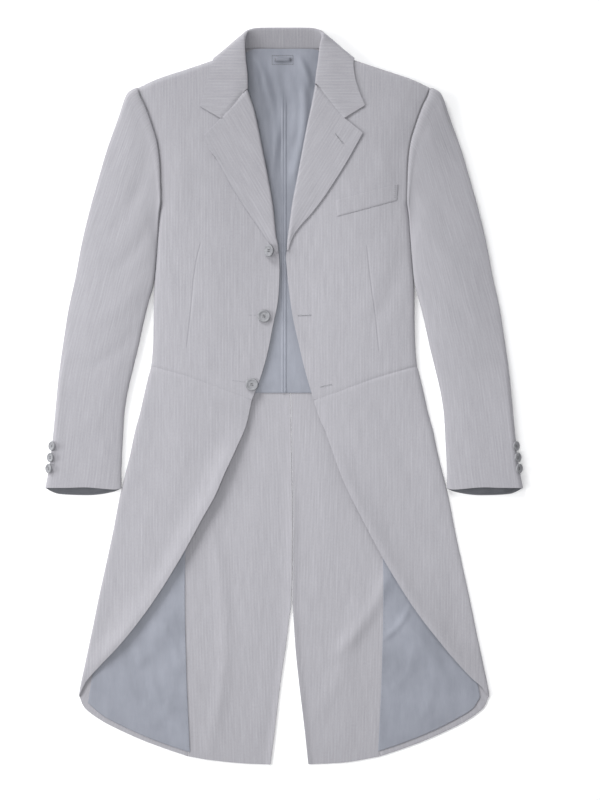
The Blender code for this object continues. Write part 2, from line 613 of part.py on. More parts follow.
def back_lining(made_of):
    level = BODY_WALL + 2.0 * SEAM_GAP + LINING_WALL / 2.0
    right_side = curve(BACK_LINING_SIDE)

    def surface(u, v):
        side = 1 if u >= 0 else -1
        share = abs(u)
        edge_top = curve(BACK_LINING_TOP)(1.0 - share)
        low = np.array((186.0 * share, -4.0 + 44.0 * smooth((186.0 * share - 60.0) / 80.0)))
        edge = right_side(v)
        out = edge[0] * share + (edge_top[0] - 168.0 * share) * (1.0 - v)
        y = edge_top[1] * (1.0 - v) + low[1] * v
        return side * out, y, body_base(out, y) + level

    us = [-1.0, -0.7, -0.45, -0.25, -0.12, 0.0, 0.12, 0.25, 0.45, 0.7, 1.0]
    vs = [0.0, 0.03, 0.06, 0.1, 0.14, 0.18, 0.23, 0.35, 0.5, 0.65, 0.8, 1.0]
    return wall("lining_back", surface, us, vs, LINING_WALL, made_of)


def skirt_lining(side, made_of):
    level = BODY_WALL + SEAM_GAP + LINING_WALL / 2.0
    pleat = ((153.0, 34.0), (155.0, -60.0), (158.5, -200.0), (160.5, -299.0), (157.5, -430.0), SKIRT_LINING_HEM[side][-1])
    outer = SKIRT_LINING_SIDE[:-1] + (SKIRT_LINING_HEM[side][0],)
    top = curve((outer[0], pleat[0]))
    patch = between(top, curve(SKIRT_LINING_HEM[side]), curve(outer), curve(pleat))

    def surface(u, v):
        out, y = patch(u, v)
        return side * out, y, level

    us = [0.0, 0.33, 0.66, 1.0]
    vs = [k / 11.0 for k in range(12)]
    return wall(wearer(side, "lining_skirt"), surface, us, vs, LINING_WALL, made_of)


def breast_welt(made_of):
    low_front, low_back, high_back, high_front = (np.array(row) for row in WELT)

    def surface(u, v):
        low = low_front * (1.0 - u) + low_back * u
        high = high_front * (1.0 - u) + high_back * u
        out, y = low * (1.0 - v) + high * v
        return out, y, top_face(out, y) + 0.5 + WELT_WALL / 2.0

    return wall("breast_welt", surface, [k / 8.0 for k in range(9)], [0.0, 0.33, 0.66, 1.0], WELT_WALL, made_of)


def hanger_loop(made_of):
    middle_x, middle_y, length, width = -2.3, 525.4, 26.4, 6.4

    def surface(u, v):
        x = middle_x + (u - 0.5) * length
        y = middle_y + (v - 0.5) * width
        raised = 1.2 * math.sin(math.pi * u) ** 2
        return x, y, 2.2 + BODY_WALL + 3.0 * SEAM_GAP + LINING_WALL + 0.6 + 0.2 + raised

    return wall("hanger_loop", surface, [k / 8.0 for k in range(9)], [0.0, 1.0], 1.2, made_of)


def button(name, place, tilt, diameter, made_of):
    """Turned button with a raised rim, its back on the cloth, leaned out by its tilt."""
    radius = diameter / 2.0
    profile = ((0.82, 0.0), (0.97, 0.9), (1.0, 1.8), (0.96, 2.9), (0.86, 3.3), (0.74, 3.0), (0.62, 2.3))
    sides = 20
    lean = math.radians(tilt)
    points, faces = [], []
    for share, height in profile:
        for k in range(sides):
            angle = 2.0 * math.pi * k / sides
            x, y = radius * share * math.cos(angle), radius * share * math.sin(angle)
            points.append((
                place[0] + x * math.cos(lean) + height * math.sin(lean),
                place[1] + y,
                place[2] - x * math.sin(lean) + height * math.cos(lean),
            ))
    for j in range(len(profile) - 1):
        for k in range(sides):
            a, b = j * sides + k, j * sides + (k + 1) % sides
            faces.append((a, b, b + sides, a + sides))
    faces.append(tuple(reversed(range(sides))))
    faces.append(tuple((len(profile) - 1) * sides + k for k in range(sides)))
    return add_body(name, points, faces, made_of)


def main():
    for old in list(bpy.data.objects):
        bpy.data.objects.remove(old, do_unlink=True)
    cloth = material("grey_wool", (0.50, 0.51, 0.55), 0.85)
    lining = material("blue_grey_lining", (0.36, 0.41, 0.50), 0.5)
    horn = material("grey_horn", (0.30, 0.31, 0.33), 0.35)

    for side in (-1, 1):
        forepart(side, cloth)
        back(side, cloth)
        side_body(side, cloth)
        skirt(side, cloth)
        sleeve(side, True, cloth)
        sleeve(side, False, cloth)
        lapel(side, cloth)
        sleeve_lining(side, lining)
        skirt_lining(side, lining)
    collar(cloth)
    back_lining(lining)
    breast_welt(cloth)
    hanger_loop(cloth)

    for number, (out, y, tilt) in enumerate(FRONT_BUTTONS, 1):
        above = 0.5 + math.sin(math.radians(tilt)) * FRONT_BUTTON / 2.0
        button(f"button_front_{number}", (-out, y, top_face(out, y) + above), -tilt, FRONT_BUTTON, horn)
    edge_y = [row[1] for row in reversed(SLEEVE_OUTER)]
    edge_out = [row[0] for row in reversed(SLEEVE_OUTER)]
    for side in (-1, 1):
        for number, (y, inset) in enumerate(CUFF_BUTTONS, 1):
            out = float(np.interp(y, edge_y, edge_out)) - inset + 4.6
            button(f"{wearer(side, 'button_cuff')}_{number}", (side * out, y, 13.2), side * 48.0, CUFF_BUTTON, horn)


main()
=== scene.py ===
import math

import bmesh
import bpy
import numpy as np
from mathutils import Matrix, Vector
from mathutils.bvhtree import BVHTree


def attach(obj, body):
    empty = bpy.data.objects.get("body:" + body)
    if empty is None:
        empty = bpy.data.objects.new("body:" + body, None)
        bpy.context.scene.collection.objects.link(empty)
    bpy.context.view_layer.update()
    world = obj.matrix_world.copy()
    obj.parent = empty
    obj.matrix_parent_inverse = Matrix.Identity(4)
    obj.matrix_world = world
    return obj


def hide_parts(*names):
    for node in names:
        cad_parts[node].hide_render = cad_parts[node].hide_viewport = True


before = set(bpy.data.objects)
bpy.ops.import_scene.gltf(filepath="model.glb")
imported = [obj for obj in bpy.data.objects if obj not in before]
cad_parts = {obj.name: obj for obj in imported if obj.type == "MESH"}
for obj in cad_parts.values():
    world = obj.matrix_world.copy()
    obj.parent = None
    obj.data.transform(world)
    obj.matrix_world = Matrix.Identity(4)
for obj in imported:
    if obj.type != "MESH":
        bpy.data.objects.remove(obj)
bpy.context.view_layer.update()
print("morning coat: frame loaded")

# Lengths are millimetres. "out" is the distance from the coat's middle line, side -1 the wearer's right.
mm = 0.001
coat = {
    "frontWall": 2.4,  # cloth, canvas and facing
    "bodyWall": 1.5,
    "sleeveWall": 1.6,
    "collarWall": 1.8,
    "liningWall": 1.0,
    "weltWall": 1.2,
    "seamGap": 0.3,
    "middleY": 2.6,  # the tables' middle to the middle of the coat's length
    "sideFold": 8.0,
    "lapelRoll": 2.2,
    "seamDip": 1.0,  # how far the cloth turns down into a seam
    "seamReach": 3.8,
    "sideShare": 0.2,  # share of the height that rounds off towards the side
    "rollRoom": 0.6,  # from a lapel's roll to the edge of the front under it
    "centreGap": 0.4,  # from the centre back to each half
    "pleatGap": 0.7,  # from a back to the pieces joined to its side
    "armholeGap": 0.65,
    "neckLift": 2.2,  # the back lies over the collar's leaf at the neck
    "armholeDip": 1.15,  # share of seamDip
}

# the cut lines: out, y
shoulderLine = ((226.3, 480.5), (200, 493), (174, 502.2), (150, 510), (102, 526.5), (76, 537))
backNeck = ((62, 541), (48, 542.3), (24, 542.3), (0, 542.3))
armholeLine = (
    (226.3, 480.5), (221.7, 466.6), (215.5, 454.2), (207.7, 434), (203, 420), (196.9, 399.9),
    (193.8, 381.3), (192, 361), (191.2, 338), (190.7, 318), (191, 300),
)
sideLine = (
    (191, 300), (192.6, 288), (194, 275.9), (195.3, 252.7), (198.6, 210), (201.5, 170.5), (202.3, 117.8),
    (202.8, 91.5), (204.6, 60.5), (206.2, 49),
)
skirtSide = (
    (206.2, 49), (209.3, 38), (216.5, 8), (223.5, -23.3), (231, -51.2), (238.8, -88.4), (248, -125.6),
    (255.8, -158.1), (265.3, -207.7), (275.9, -257.3), (286.8, -306.9), (296.8, -356.5), (307.2, -406.1),
    (316.5, -450), (318, -462),
)
backSeam = ((191, 300), (183.5, 280), (168, 210), (154, 110), (149, 44))
pleatLine = ((149, 44), (151, -60), (155, -200), (157, -299), (154, -430), (148, -556.5))
waistLine = ((206.2, 49), (185, 43.5), (147, 32.5), (106, 18), (80, 8.5), (50, -3))
underWaist = ((206.2, 49), (178, 46), (149, 44))
hemLine = (
    (318, -462), (310.5, -480), (285.5, -499.5), (257, -514.5), (219, -531.5), (180, -546), (148, -556.5),
)
rollLine = {
    -1: (
        (55.8, 477), (52.6, 467.5), (45.5, 446.4), (34.1, 392), (23.5, 338), (16.8, 299), (12, 252.7),
        (9.4, 240), (8, 226),
    ),
    1: (
        (48, 485), (46.3, 475.5), (42.2, 454), (35.5, 423), (28, 384), (20, 341), (13.4, 307), (8, 268),
        (5.2, 245), (4.2, 229),
    ),
}
frontEdge = {
    -1: ((7.9, 220), (7, 198), (9.3, 152), (17, 113), (26.4, 67), (38.8, 25), (50, -3)),
    1: ((3.1, 221.7), (3.9, 206), (7.8, 167), (14, 124), (23.3, 82), (32.6, 43), (46, -3)),
}
cutaway = {
    -1: (
        (50, -3), (58.9, -42.6), (74.4, -79), (93, -119.4), (107, -151.9), (127.1, -187.6),
        (149.7, -229.4), (168, -261), (190.7, -297.6), (218.6, -337.9), (252, -379.8), (285.5, -415.4),
        (306, -438), (311.5, -448),
    ),
    1: (
        (46, -3), (55, -31), (63.6, -50), (91.5, -127.1), (122, -189), (155, -251.1), (183.7, -298.5),
        (207.4, -334.2), (231, -365), (262, -403), (290, -433.5), (306.5, -448), (311.5, -455),
    ),
}
# centre back seam and vent edge of each half: x, y
centreSeam = ((1, 542.3), (3, 400), (6, 200), (10, 0), (13.5, -190), (13, -270))
centreBack = {
    -1: centreSeam + (
        (12, -302), (11.4, -322), (8, -346), (4.7, -375), (-5.3, -443), (-13, -508), (-20.8, -569),
    ),
    1: centreSeam + (
        (12.4, -302), (12.9, -322), (14.4, -346), (17.8, -395), (22.9, -443), (30.7, -508), (37.2, -568.6),
    ),
}
backHem = {
    -1: ((148, -556.5), (116, -562), (65, -567.3), (20.8, -569)),
    1: ((148, -556.5), (101, -565), (70, -567.4), (37.2, -568.6)),
}

# height of the coat's top face along the body: y, height at the side, factor at the front edge
topHeights = (
    (-480, 6.4, 1.0), (-340, 7, 0.95), (-200, 8, 0.85), (-60, 10.5, 0.74), (40, 13, 0.66),
    (120, 14.5, 0.62), (200, 16, 0.60), (280, 18, 0.60), (360, 20, 0.66), (440, 21, 0.76),
    (500, 21, 0.90), (560, 20, 0.95),
)

# soft creases of the upper faces, each a line that fades at its ends: x, y, x, y, rise or dip, half width
upperCreases = (
    (-184, 236, -150, 150, -0.9, 13), (-172, 402, -160, 300, 0.8, 15), (-150, 380, -140, 250, -0.5, 20),
    (-120, 210, -112, 90, 0.5, 17), (-60, 150, -52, 40, 0.6, 16), (-130, 46, -62, 24, -0.5, 9),
    (174, 392, 160, 262, -0.8, 15), (182, 222, 140, 118, -0.9, 13), (150, 250, 128, 130, 0.6, 15),
    (100, 210, 96, 80, -0.45, 18), (58, 160, 62, 40, 0.6, 16), (120, 430, 150, 330, 0.7, 20),
    (-120, 430, -150, 340, 0.6, 20), (-196, 30, -222, -150, -0.7, 16), (-150, 0, -206, -250, 0.9, 22),
    (-96, -20, -150, -200, -0.6, 16), (-214, -160, -262, -380, 0.8, 17), (-178, -230, -236, -350, -0.6, 14),
    (196, 20, 232, -170, 0.7, 16), (150, -6, 214, -260, -0.9, 22), (92, -30, 150, -190, 0.6, 16),
    (222, -170, 268, -390, -0.8, 17), (190, -250, 246, -370, 0.6, 14),
    (-236, 440, -262, 330, 0.9, 16), (-212, 380, -236, 300, -1.1, 10), (-224, 330, -272, 250, -1.0, 12),
    (-210, 262, -262, 196, -1.3, 11), (-222, 176, -286, 120, 1.0, 14), (-300, 250, -312, 90, 0.7, 18),
    (-232, 100, -300, 48, -1.0, 12), (-262, 30, -330, -60, 0.6, 16), (-340, 20, -352, -110, -0.5, 12),
    (234, 444, 262, 350, -0.9, 16), (214, 408, 262, 372, 1.2, 11), (212, 330, 262, 262, -1.2, 12),
    (210, 270, 268, 190, 1.0, 12), (300, 260, 316, 110, -0.7, 18), (222, 180, 290, 110, -1.2, 12),
    (236, 100, 304, 60, 0.9, 13), (262, 36, 332, -50, -0.7, 16), (344, 30, 356, -100, 0.5, 12),
)
# and of the layers that lie on the table inside the coat
innerCreases = (
    (166, -262, 84, -396, 2.6, 11), (128, -250, 70, -330, -0.8, 16), (192, -330, 158, -372, 1.5, 5),
    (204, -380, 176, -450, 0.9, 8), (232, -430, 214, -500, 0.8, 9), (100, -420, 84, -540, 0.9, 20),
    (-52, -180, -70, -420, 0.9, 22), (-106, -230, -114, -540, 1.9, 10), (-190, -350, -160, -420, 0.9, 7),
    (116, -300, 62, -480, 1.5, 15),
    (-226, -400, -196, -470, 0.8, 8), (-170, -470, -210, -510, 0.6, 8), (-30, -360, -44, -540, 0.6, 16),
    (48, -60, 54, -300, 0.6, 18), (-40, -40, -34, -170, 0.5, 16),
    (166, -330, 256, -456, 3.2, 15), (-176, -336, -236, -420, 1.2, 13),
)


def eased(value):
    t = np.clip(value, 0.0, 1.0)
    return t * t * (3.0 - 2.0 * t)


def ramp(value, start, end):
    # 0 up to one place and 1 from the other on, softly
    return eased((value - start) / (end - start))


def quarterRound(distance, radius):
    t = np.clip(distance / radius, 0.0, 1.0)
    return np.sqrt(np.maximum(0.0, 1.0 - (1.0 - t) ** 2))


def cubic(a, b, slopeA, slopeB, t):
    # from a to b, with these slopes at its ends
    return (
        a * (2 * t**3 - 3 * t**2 + 1) + slopeA * (t**3 - 2 * t**2 + t)
        + b * (3 * t**2 - 2 * t**3) + slopeB * (t**3 - t**2)
    )


def seamLine(rows):
    # smooth line through the rows, taken as fractions of its length
    points = np.array(rows, float)
    lengths = np.linalg.norm(np.diff(points, axis=0), axis=1)
    at = np.concatenate([[0.0], np.cumsum(lengths)]) / lengths.sum()
    slopes = np.zeros_like(points)
    slopes[1:-1] = (points[2:] - points[:-2]) / (at[2:] - at[:-2])[:, None]
    slopes[0] = (points[1] - points[0]) / (at[1] - at[0])
    slopes[-1] = (points[-1] - points[-2]) / (at[-1] - at[-2])

    def place(fraction):
        fraction = np.asarray(fraction, float)
        k = np.clip(np.searchsorted(at, fraction, side="right") - 1, 0, len(at) - 2)
        span = (at[k + 1] - at[k])[..., None]
        t = (fraction - at[k])[..., None] / span
        return cubic(points[k], points[k + 1], slopes[k] * span, slopes[k + 1] * span, t)

    return place


def patchOf(top, bottom, left, right):
    # flat patch inside four lines: top and bottom run left to right, left and right run down;
    # it gives the two coordinates one after the other
    topLeft, topRight, lowLeft, lowRight = top(0.0), top(1.0), bottom(0.0), bottom(1.0)

    def place(u, v):
        u = np.asarray(u, float)[..., None] + 0.0 * np.asarray(v, float)[..., None]
        v = np.asarray(v, float)[..., None] + 0.0 * u
        across, down = u[..., 0], v[..., 0]
        edges = top(across) * (1 - v) + bottom(across) * v + left(down) * (1 - u) + right(down) * u
        corners = (topLeft * (1 - u) + topRight * u) * (1 - v) + (lowLeft * (1 - u) + lowRight * u) * v
        return np.moveaxis(edges - corners, -1, 0)

    return place


def places(x, y, z):
    return np.stack((x, y, z), axis=-1)


def lengthOf(rows):
    return float(np.linalg.norm(np.diff(np.array(rows, float), axis=0), axis=1).sum())


def lineDistance(x, y, rows):
    # shortest distance from points to a line of rows
    best = np.full(np.shape(x), 1e9)
    for (ax, ay), (bx, by) in zip(rows, rows[1:]):
        along = ((x - ax) * (bx - ax) + (y - ay) * (by - ay)) / ((bx - ax) ** 2 + (by - ay) ** 2)
        t = np.clip(along, 0.0, 1.0)
        best = np.minimum(best, np.hypot(x - ax - t * (bx - ax), y - ay - t * (by - ay)))
    return best


def creaseField(x, y, table):
    total = np.zeros(np.shape(x))
    for ax, ay, bx, by, rise, halfWidth in table:
        length = math.hypot(bx - ax, by - ay)
        along = ((x - ax) * (bx - ax) + (y - ay) * (by - ay)) / length**2
        away = ((x - ax) * (by - ay) - (y - ay) * (bx - ax)) / length
        away = away + 0.06 * length * np.sin(np.pi * along)  # a slight bend
        ends = eased((along + 0.25) / 0.5) * eased((1.25 - along) / 0.5)
        total += rise * ends * np.exp(-((away / halfWidth) ** 2))
    return total


def heightColumn(y, column):
    return np.interp(y, [row[0] for row in topHeights], [row[column] for row in topHeights])


def bodyHeight(out, y):
    share = eased((np.abs(out) - 5.0) / 120.0)
    front = heightColumn(y, 2)
    return heightColumn(y, 1) * (front + (1.0 - front) * share)


def foldMiddle(y):
    return 0.5 * heightColumn(y, 1)


def bodyBase(out, y):
    # on the table, and over the collar leaf at the neck
    return coat["neckLift"] * ramp(y, 430, 522) * eased((152.0 - np.abs(out)) / 40.0)


def sideDrop(out, y):
    # the top face rounds off gently towards armhole and side
    reach = 46.0 + 34.0 * ramp(y, 20, -60)
    distance = lineDistance(out, y, armholeLine + sideLine[1:] + skirtSide[1:])
    return coat["sideShare"] * heightColumn(y, 1) * (1.0 - np.clip(distance / reach, 0.0, 1.0)) ** 2


def coatTop(x, y):
    return bodyHeight(x, y) + creaseField(x, y, upperCreases) - sideDrop(np.abs(x), y)


def insideRise(x, y):
    return np.maximum(0.0, creaseField(x, y, innerCreases)) + 0.25


def steps(length, size, start=(), end=()):
    # fractions of a length, finer where start and end give places in from its ends
    first = [0.0] + [place / length for place in start]
    last = [1.0 - place / length for place in end] + [1.0]
    count = max(2, round(length * (last[0] - first[-1]) / size))
    return np.array(first + list(np.linspace(first[-1], last[0], count + 1)[1:-1]) + last)


def roundSteps(radius, count):
    return tuple(radius * (1.0 - math.cos(math.pi / 2 * k / count)) for k in range(1, count + 1))


seamRows = (0.5, 1.1, 1.9, 2.9)
seamRowsBack = tuple(reversed(seamRows))
armLength, sideLength = lengthOf(armholeLine), lengthOf(sideLine)


def grainMap(points, grainX, grainY, baseColumn, upTo=None):
    # distance across the grain along each row, so that stripes run on round a fold, and distance along it;
    # upTo is the column where a row that doubles back has its fold
    size = math.hypot(grainX, grainY)
    across = (points[..., 0] * grainY - points[..., 1] * grainX) / size
    along = (points[..., 0] * grainX + points[..., 1] * grainY) / size
    base = baseColumn % across.shape[1]
    away = across - across[:, base][:, None]
    far = np.abs(away[:, :upTo]).argmax(axis=1)[:, None]
    sense = np.sign(np.take_along_axis(away, far, axis=1)) * np.sign(far - base)
    stepAcross = np.diff(across, axis=1)
    steep = np.maximum(0.0, np.abs(np.diff(points[..., 2], axis=1)) - 0.25 * np.abs(stepAcross))
    walked = np.cumsum(sense * np.hypot(stepAcross, steep), axis=1)
    walked = np.concatenate([np.zeros((len(points), 1)), walked], axis=1)
    walked += (across[:, baseColumn] - walked[:, baseColumn])[:, None]
    return walked * mm, along * mm


def walkMap(points, baseColumn):
    # distance along each row from one column, and along that column
    walked = np.cumsum(np.linalg.norm(np.diff(points, axis=1), axis=2), axis=1)
    walked = np.concatenate([np.zeros((len(points), 1)), walked], axis=1)
    walked = walked - walked[:, baseColumn][:, None]
    down = np.cumsum(np.linalg.norm(np.diff(points[:, baseColumn], axis=0), axis=1))
    return walked * mm, np.concatenate([[0.0], down])[:, None] * mm + 0.0 * walked


def straight(baseColumn):
    # a map whose stripes run straight down the coat
    return lambda points: grainMap(points, 0.0, 1.0, baseColumn)


def meshOf(name, work):
    mesh = bpy.data.meshes.new(name)
    work.to_mesh(mesh)
    work.free()
    return mesh


def addObject(name, data):
    made = bpy.data.objects.new(name, data)
    bpy.context.scene.collection.objects.link(made)
    return made


def addPiece(name, mesh, finishes):
    for finish in finishes:
        mesh.materials.append(finish)
    mesh.shade_smooth()
    piece = addObject(name, mesh)
    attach(piece, "root")
    return piece


def clothPiece(name, surface, us, vs, wall, finishes, makeMap, faceUp=True, at=(0.5, 0.5), lined=False,
               marks=None, rim=0.5, on=()):
    # a wall of cloth about its middle surface; "at" is a place on it that faces up or down
    u, v = np.meshgrid(np.asarray(us, float), np.asarray(vs, float))
    points = surface(u, v)
    rows, columns = u.shape
    grid = bmesh.new()
    bmesh.ops.create_grid(grid, x_segments=columns - 1, y_segments=rows - 1, size=0.5)
    column = np.array([round((vert.co.x + 0.5) * (columns - 1)) for vert in grid.verts])
    row = np.array([round((vert.co.y + 0.5) * (rows - 1)) for vert in grid.verts])
    mesh = meshOf(name, grid)
    placed = (points[row, column] - (0.0, coat["middleY"], 0.0)) * mm
    mesh.vertices.foreach_set("co", placed.astype(np.float32).ravel())
    loops = np.zeros(len(mesh.loops), np.int32)
    mesh.loops.foreach_get("vertex_index", loops)
    maps = {"cloth": makeMap(points)}
    if marks is not None:
        maps["marks"] = marks(points)
    for mapName, (across, along) in maps.items():
        layer = mesh.uv_layers.get(mapName) or mesh.uv_layers.new(name=mapName)
        pairs = np.stack((across[row, column], along[row, column]), axis=-1)
        layer.data.foreach_set("uv", pairs[loops].astype(np.float32).ravel())
    for layer in [layer for layer in mesh.uv_layers if layer.name not in maps]:
        mesh.uv_layers.remove(layer)
    j, i = int(at[1] * (rows - 2)), int(at[0] * (columns - 2))
    normal = np.cross(points[j, i + 1] - points[j, i], points[j + 1, i] - points[j, i])
    if (normal[2] > 0.0) != faceUp:
        mesh.flip_normals()
    piece = addPiece(name, mesh, finishes)
    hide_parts(name)
    thick = piece.modifiers.new("wall", "SOLIDIFY")
    thick.thickness = wall * mm
    thick.offset = 0.0
    thick.use_quality_normals = True
    if lined:
        thick.material_offset = 1
    soft = piece.modifiers.new("rim", "BEVEL")
    soft.width = rim * mm
    soft.segments = 2
    soft.profile = 0.5
    soft.limit_method = "ANGLE"
    soft.angle_limit = math.radians(50)
    soft.material = -1
    # the cut laid out flat: the size of its map, and the diagonals of the mesh's squares
    across, along = maps["cloth"]
    corners = points[1:, 1:] - points[:-1, :-1], points[1:, :-1] - points[:-1, 1:]
    size = (float(across.max() - across.min()), float(along.max() - along.min()))
    return piece


def wearer(side, word):
    return f"{word}_left" if side > 0 else f"{word}_right"


class Wire:
    # one shader socket, so that maths on it reads as an expression
    def __init__(self, finish, socket):
        self.finish = finish
        self.socket = socket

    def maths(self, operation, first, second=0.0):
        return self.finish.node("ShaderNodeMath", {"operation": operation}, {0: first, 1: second})

    def __add__(self, other):
        return self.maths("ADD", self, other)

    def __radd__(self, other):
        return self.maths("ADD", other, self)

    def __sub__(self, other):
        return self.maths("SUBTRACT", self, other)

    def __rsub__(self, other):
        return self.maths("SUBTRACT", other, self)

    def __mul__(self, other):
        return self.maths("MULTIPLY", self, other)

    def __rmul__(self, other):
        return self.maths("MULTIPLY", other, self)

    def __truediv__(self, other):
        return self.maths("DIVIDE", self, other)

    def __abs__(self):
        return self.maths("ABSOLUTE", self)

    def part(self):
        return self.maths("FRACT", self)

    def wave(self):
        return self.maths("SINE", self)

    def between(self, low, high):
        settings = {"interpolation_type": "SMOOTHSTEP"}
        return self.finish.node("ShaderNodeMapRange", settings, {0: self, 1: low, 2: high})


class Finish:
    # one material and the nodes that feed its shader
    def __init__(self, name, roughness, viewColour):
        self.material = bpy.data.materials.new(name)
        self.material.use_nodes = True
        self.material.diffuse_color = (*viewColour, 1.0)
        self.tree = self.material.node_tree
        self.shader = self.tree.nodes["Principled BSDF"]
        self.set("Roughness", roughness)

    def set(self, name, value):
        if isinstance(value, Wire):
            self.tree.links.new(value.socket, self.shader.inputs[name])
        else:
            self.shader.inputs[name].default_value = value

    def node(self, kind, settings=None, values=None, out=0):
        made = self.tree.nodes.new(kind)
        for key, value in (settings or {}).items():
            setattr(made, key, value)
        for key, value in (values or {}).items():
            if isinstance(value, Wire):
                self.tree.links.new(value.socket, made.inputs[key])
            else:
                made.inputs[key].default_value = value
        return Wire(self, made.outputs[out])

    def mapPair(self, mapName):
        uv = self.node("ShaderNodeUVMap", {"uv_map": mapName})
        split = self.node("ShaderNodeSeparateXYZ", values={0: uv})
        return split, Wire(self, split.socket.node.outputs[1])

    def vector(self, x, y, z=0.0):
        return self.node("ShaderNodeCombineXYZ", values={0: x, 1: y, 2: z})

    def noise(self, vector, scale, detail=2.0):
        return self.node("ShaderNodeTexNoise", values={"Vector": vector, "Scale": scale, "Detail": detail})

    def patches(self, across, along, grain, detail=2.0):
        # soft patches of tone, the two numbers of their grain being how many fit in a metre
        return self.noise(self.vector(across * grain[0], along * grain[1]), 1.0, detail)

    def blend(self, amount, first, second):
        values = {"Factor": amount, 6: first, 7: second}
        return self.node("ShaderNodeMix", {"data_type": "RGBA", "clamp_factor": True}, values, out=2)

    def bump(self, height, strength, depth):
        values = {"Height": height, "Strength": strength, "Distance": depth}
        self.set("Normal", self.node("ShaderNodeBump", values=values))


wool = {
    "dark": (0.243, 0.2388, 0.2588, 1.0),
    "light": (0.396, 0.3895, 0.419, 1.0),
    "stripeSpacing": 4.65,
    "stripeWidth": 0.26,  # share of the spacing
    "stripeLight": 0.2,
    "streaks": 0.42,
    "streakGrain": (900.0, 9.0),
    "slubs": 0.5,
    "slubGrain": (340.0, 26.0),
    "flecks": 0.42,
    "fleckGrain": (640.0, 300.0),
    "wornGrain": (260.0, 30.0),
    "broad": 0.10,
    "twill": 0.9,  # spacing of the weave's diagonal
    "dartShadeWidth": 1.3,  # of the painted shade line in a dart's fold, and the painted highlight beside it
    "dartHighlightAside": 2.3,
    "dartHighlightWidth": 1.6,
}


def greyWool(name, dartShaded=False):
    # pale grey wool with fine light stripes, woven in a small diagonal
    finish = Finish(name, 0.88, (0.5, 0.51, 0.55))
    across, along = finish.mapPair("cloth")
    place = finish.node("ShaderNodeTexCoord", out=3)
    phase = (across / (wool["stripeSpacing"] * mm)).part()
    stripe = 1.0 - (abs(phase - 0.5)).between(0.0, wool["stripeWidth"])
    second = 1.0 - (abs((phase + 0.5).part() - 0.5)).between(0.0, 0.12)
    streak = finish.patches(across, along, wool["streakGrain"])
    slub = finish.patches(across, along, wool["slubGrain"])
    fleck = finish.patches(across, along, wool["fleckGrain"])
    broad = finish.noise(place, 5.0)
    # each stripe fades in and out along its length
    worn = finish.patches(across, along, wool["wornGrain"]).between(0.32, 0.68)
    tone = 0.47 + wool["stripeLight"] * stripe * worn - 0.05 * second
    tone = tone + wool["streaks"] * (streak - 0.5) + wool["slubs"] * (slub - 0.5)
    tone = tone + wool["flecks"] * (fleck - 0.5) + wool["broad"] * (broad - 0.5)
    diagonal = ((across + along) * (2 * math.pi / (wool["twill"] * mm))).wave()
    height = 0.5 + 0.3 * diagonal + 0.5 * (fleck - 0.5) + 0.25 * stripe
    # the darts' fold and ridge are painted: a dark line of painted shade and a light line of painted
    # highlight beside it
    if dartShaded:
        aside, down = finish.mapPair("marks")
        fold = 1.0 - abs(aside).between(0.0, wool["dartShadeWidth"] * mm)
        shown = down.between(0.0, 0.05) * (1.0 - down.between(0.95, 1.0))
        tone = tone - 0.5 * fold * shown
        beside = abs(aside - wool["dartHighlightAside"] * mm)
        dartHighlight = 1.0 - beside.between(0.0, wool["dartHighlightWidth"] * mm)
        tone = tone + 0.2 * dartHighlight * shown
    finish.set("Base Color", finish.blend(tone, wool["dark"], wool["light"]))
    finish.set("Sheen Weight", 0.12)
    finish.set("Sheen Roughness", 0.5)
    finish.bump(height, 0.30, 0.00012)
    return finish.material


satin = {
    "dark": (0.18, 0.192, 0.229),
    "light": (0.31, 0.325, 0.379),
    "wrinkleGrain": (70.0, 16.0),
    "threadGrain": (2200.0, 60.0),
    "weave": 0.5,  # spacing of its threads
}


def blueGreyLining(name, shade):
    finish = Finish(name, 0.42, (0.36, 0.41, 0.5))
    across, along = finish.mapPair("cloth")
    place = finish.node("ShaderNodeTexCoord", out=3)
    cloud = finish.noise(place, 18.0, 3.0)
    wrinkle = finish.patches(across, along, satin["wrinkleGrain"], 3.0)
    thread = finish.patches(across, along, satin["threadGrain"])
    # the clouds and wrinkles in the tone are painted satin sheen and painted shade in the wrinkles; the
    # thread noise is the weave's own tone
    tone = 0.5 + 0.9 * (cloud - 0.5) + 0.7 * (wrinkle - 0.5) + 0.3 * (thread - 0.5)
    dark, light = ([shade * value for value in satin[word]] + [1.0] for word in ("dark", "light"))
    finish.set("Base Color", finish.blend(tone, dark, light))
    finish.set("Roughness", 0.40 + 0.12 * cloud)
    finish.set("Sheen Weight", 0.2)
    turns = 2 * math.pi / (satin["weave"] * mm)
    weave = (across * turns).wave() * (along * turns).wave()
    pebble = finish.noise(place, 120.0)
    finish.bump(0.5 + 0.1 * weave + 1.6 * (wrinkle - 0.5) + 0.3 * (pebble - 0.5), 0.5, 0.0005)
    return finish.material


hornColours = ((0.12, 0.122, 0.132, 1.0), (0.33, 0.333, 0.35, 1.0))


def greyHorn(name):
    finish = Finish(name, 0.34, (0.3, 0.31, 0.33))
    place = finish.node("ShaderNodeTexCoord", out=3)
    bands = finish.noise(place, 160.0, 3.0)
    finish.set("Base Color", finish.blend(bands, *hornColours))
    finish.set("Roughness", 0.40 + 0.14 * bands)
    finish.set("Specular IOR Level", 0.35)
    finish.bump(finish.noise(place, 900.0), 0.1, 0.0002)
    return finish.material


def sewingThread(name, tone):
    finish = Finish(name, 0.6, (tone, tone, tone * 1.06))
    fuzz = finish.noise(finish.node("ShaderNodeTexCoord", out=3), 2600.0)
    dark = (tone * 0.8, tone * 0.8, tone * 0.86, 1.0)
    light = (tone * 1.15, tone * 1.15, tone * 1.22, 1.0)
    finish.set("Base Color", finish.blend(fuzz, dark, light))
    finish.bump(fuzz, 0.3, 0.0001)
    return finish.material


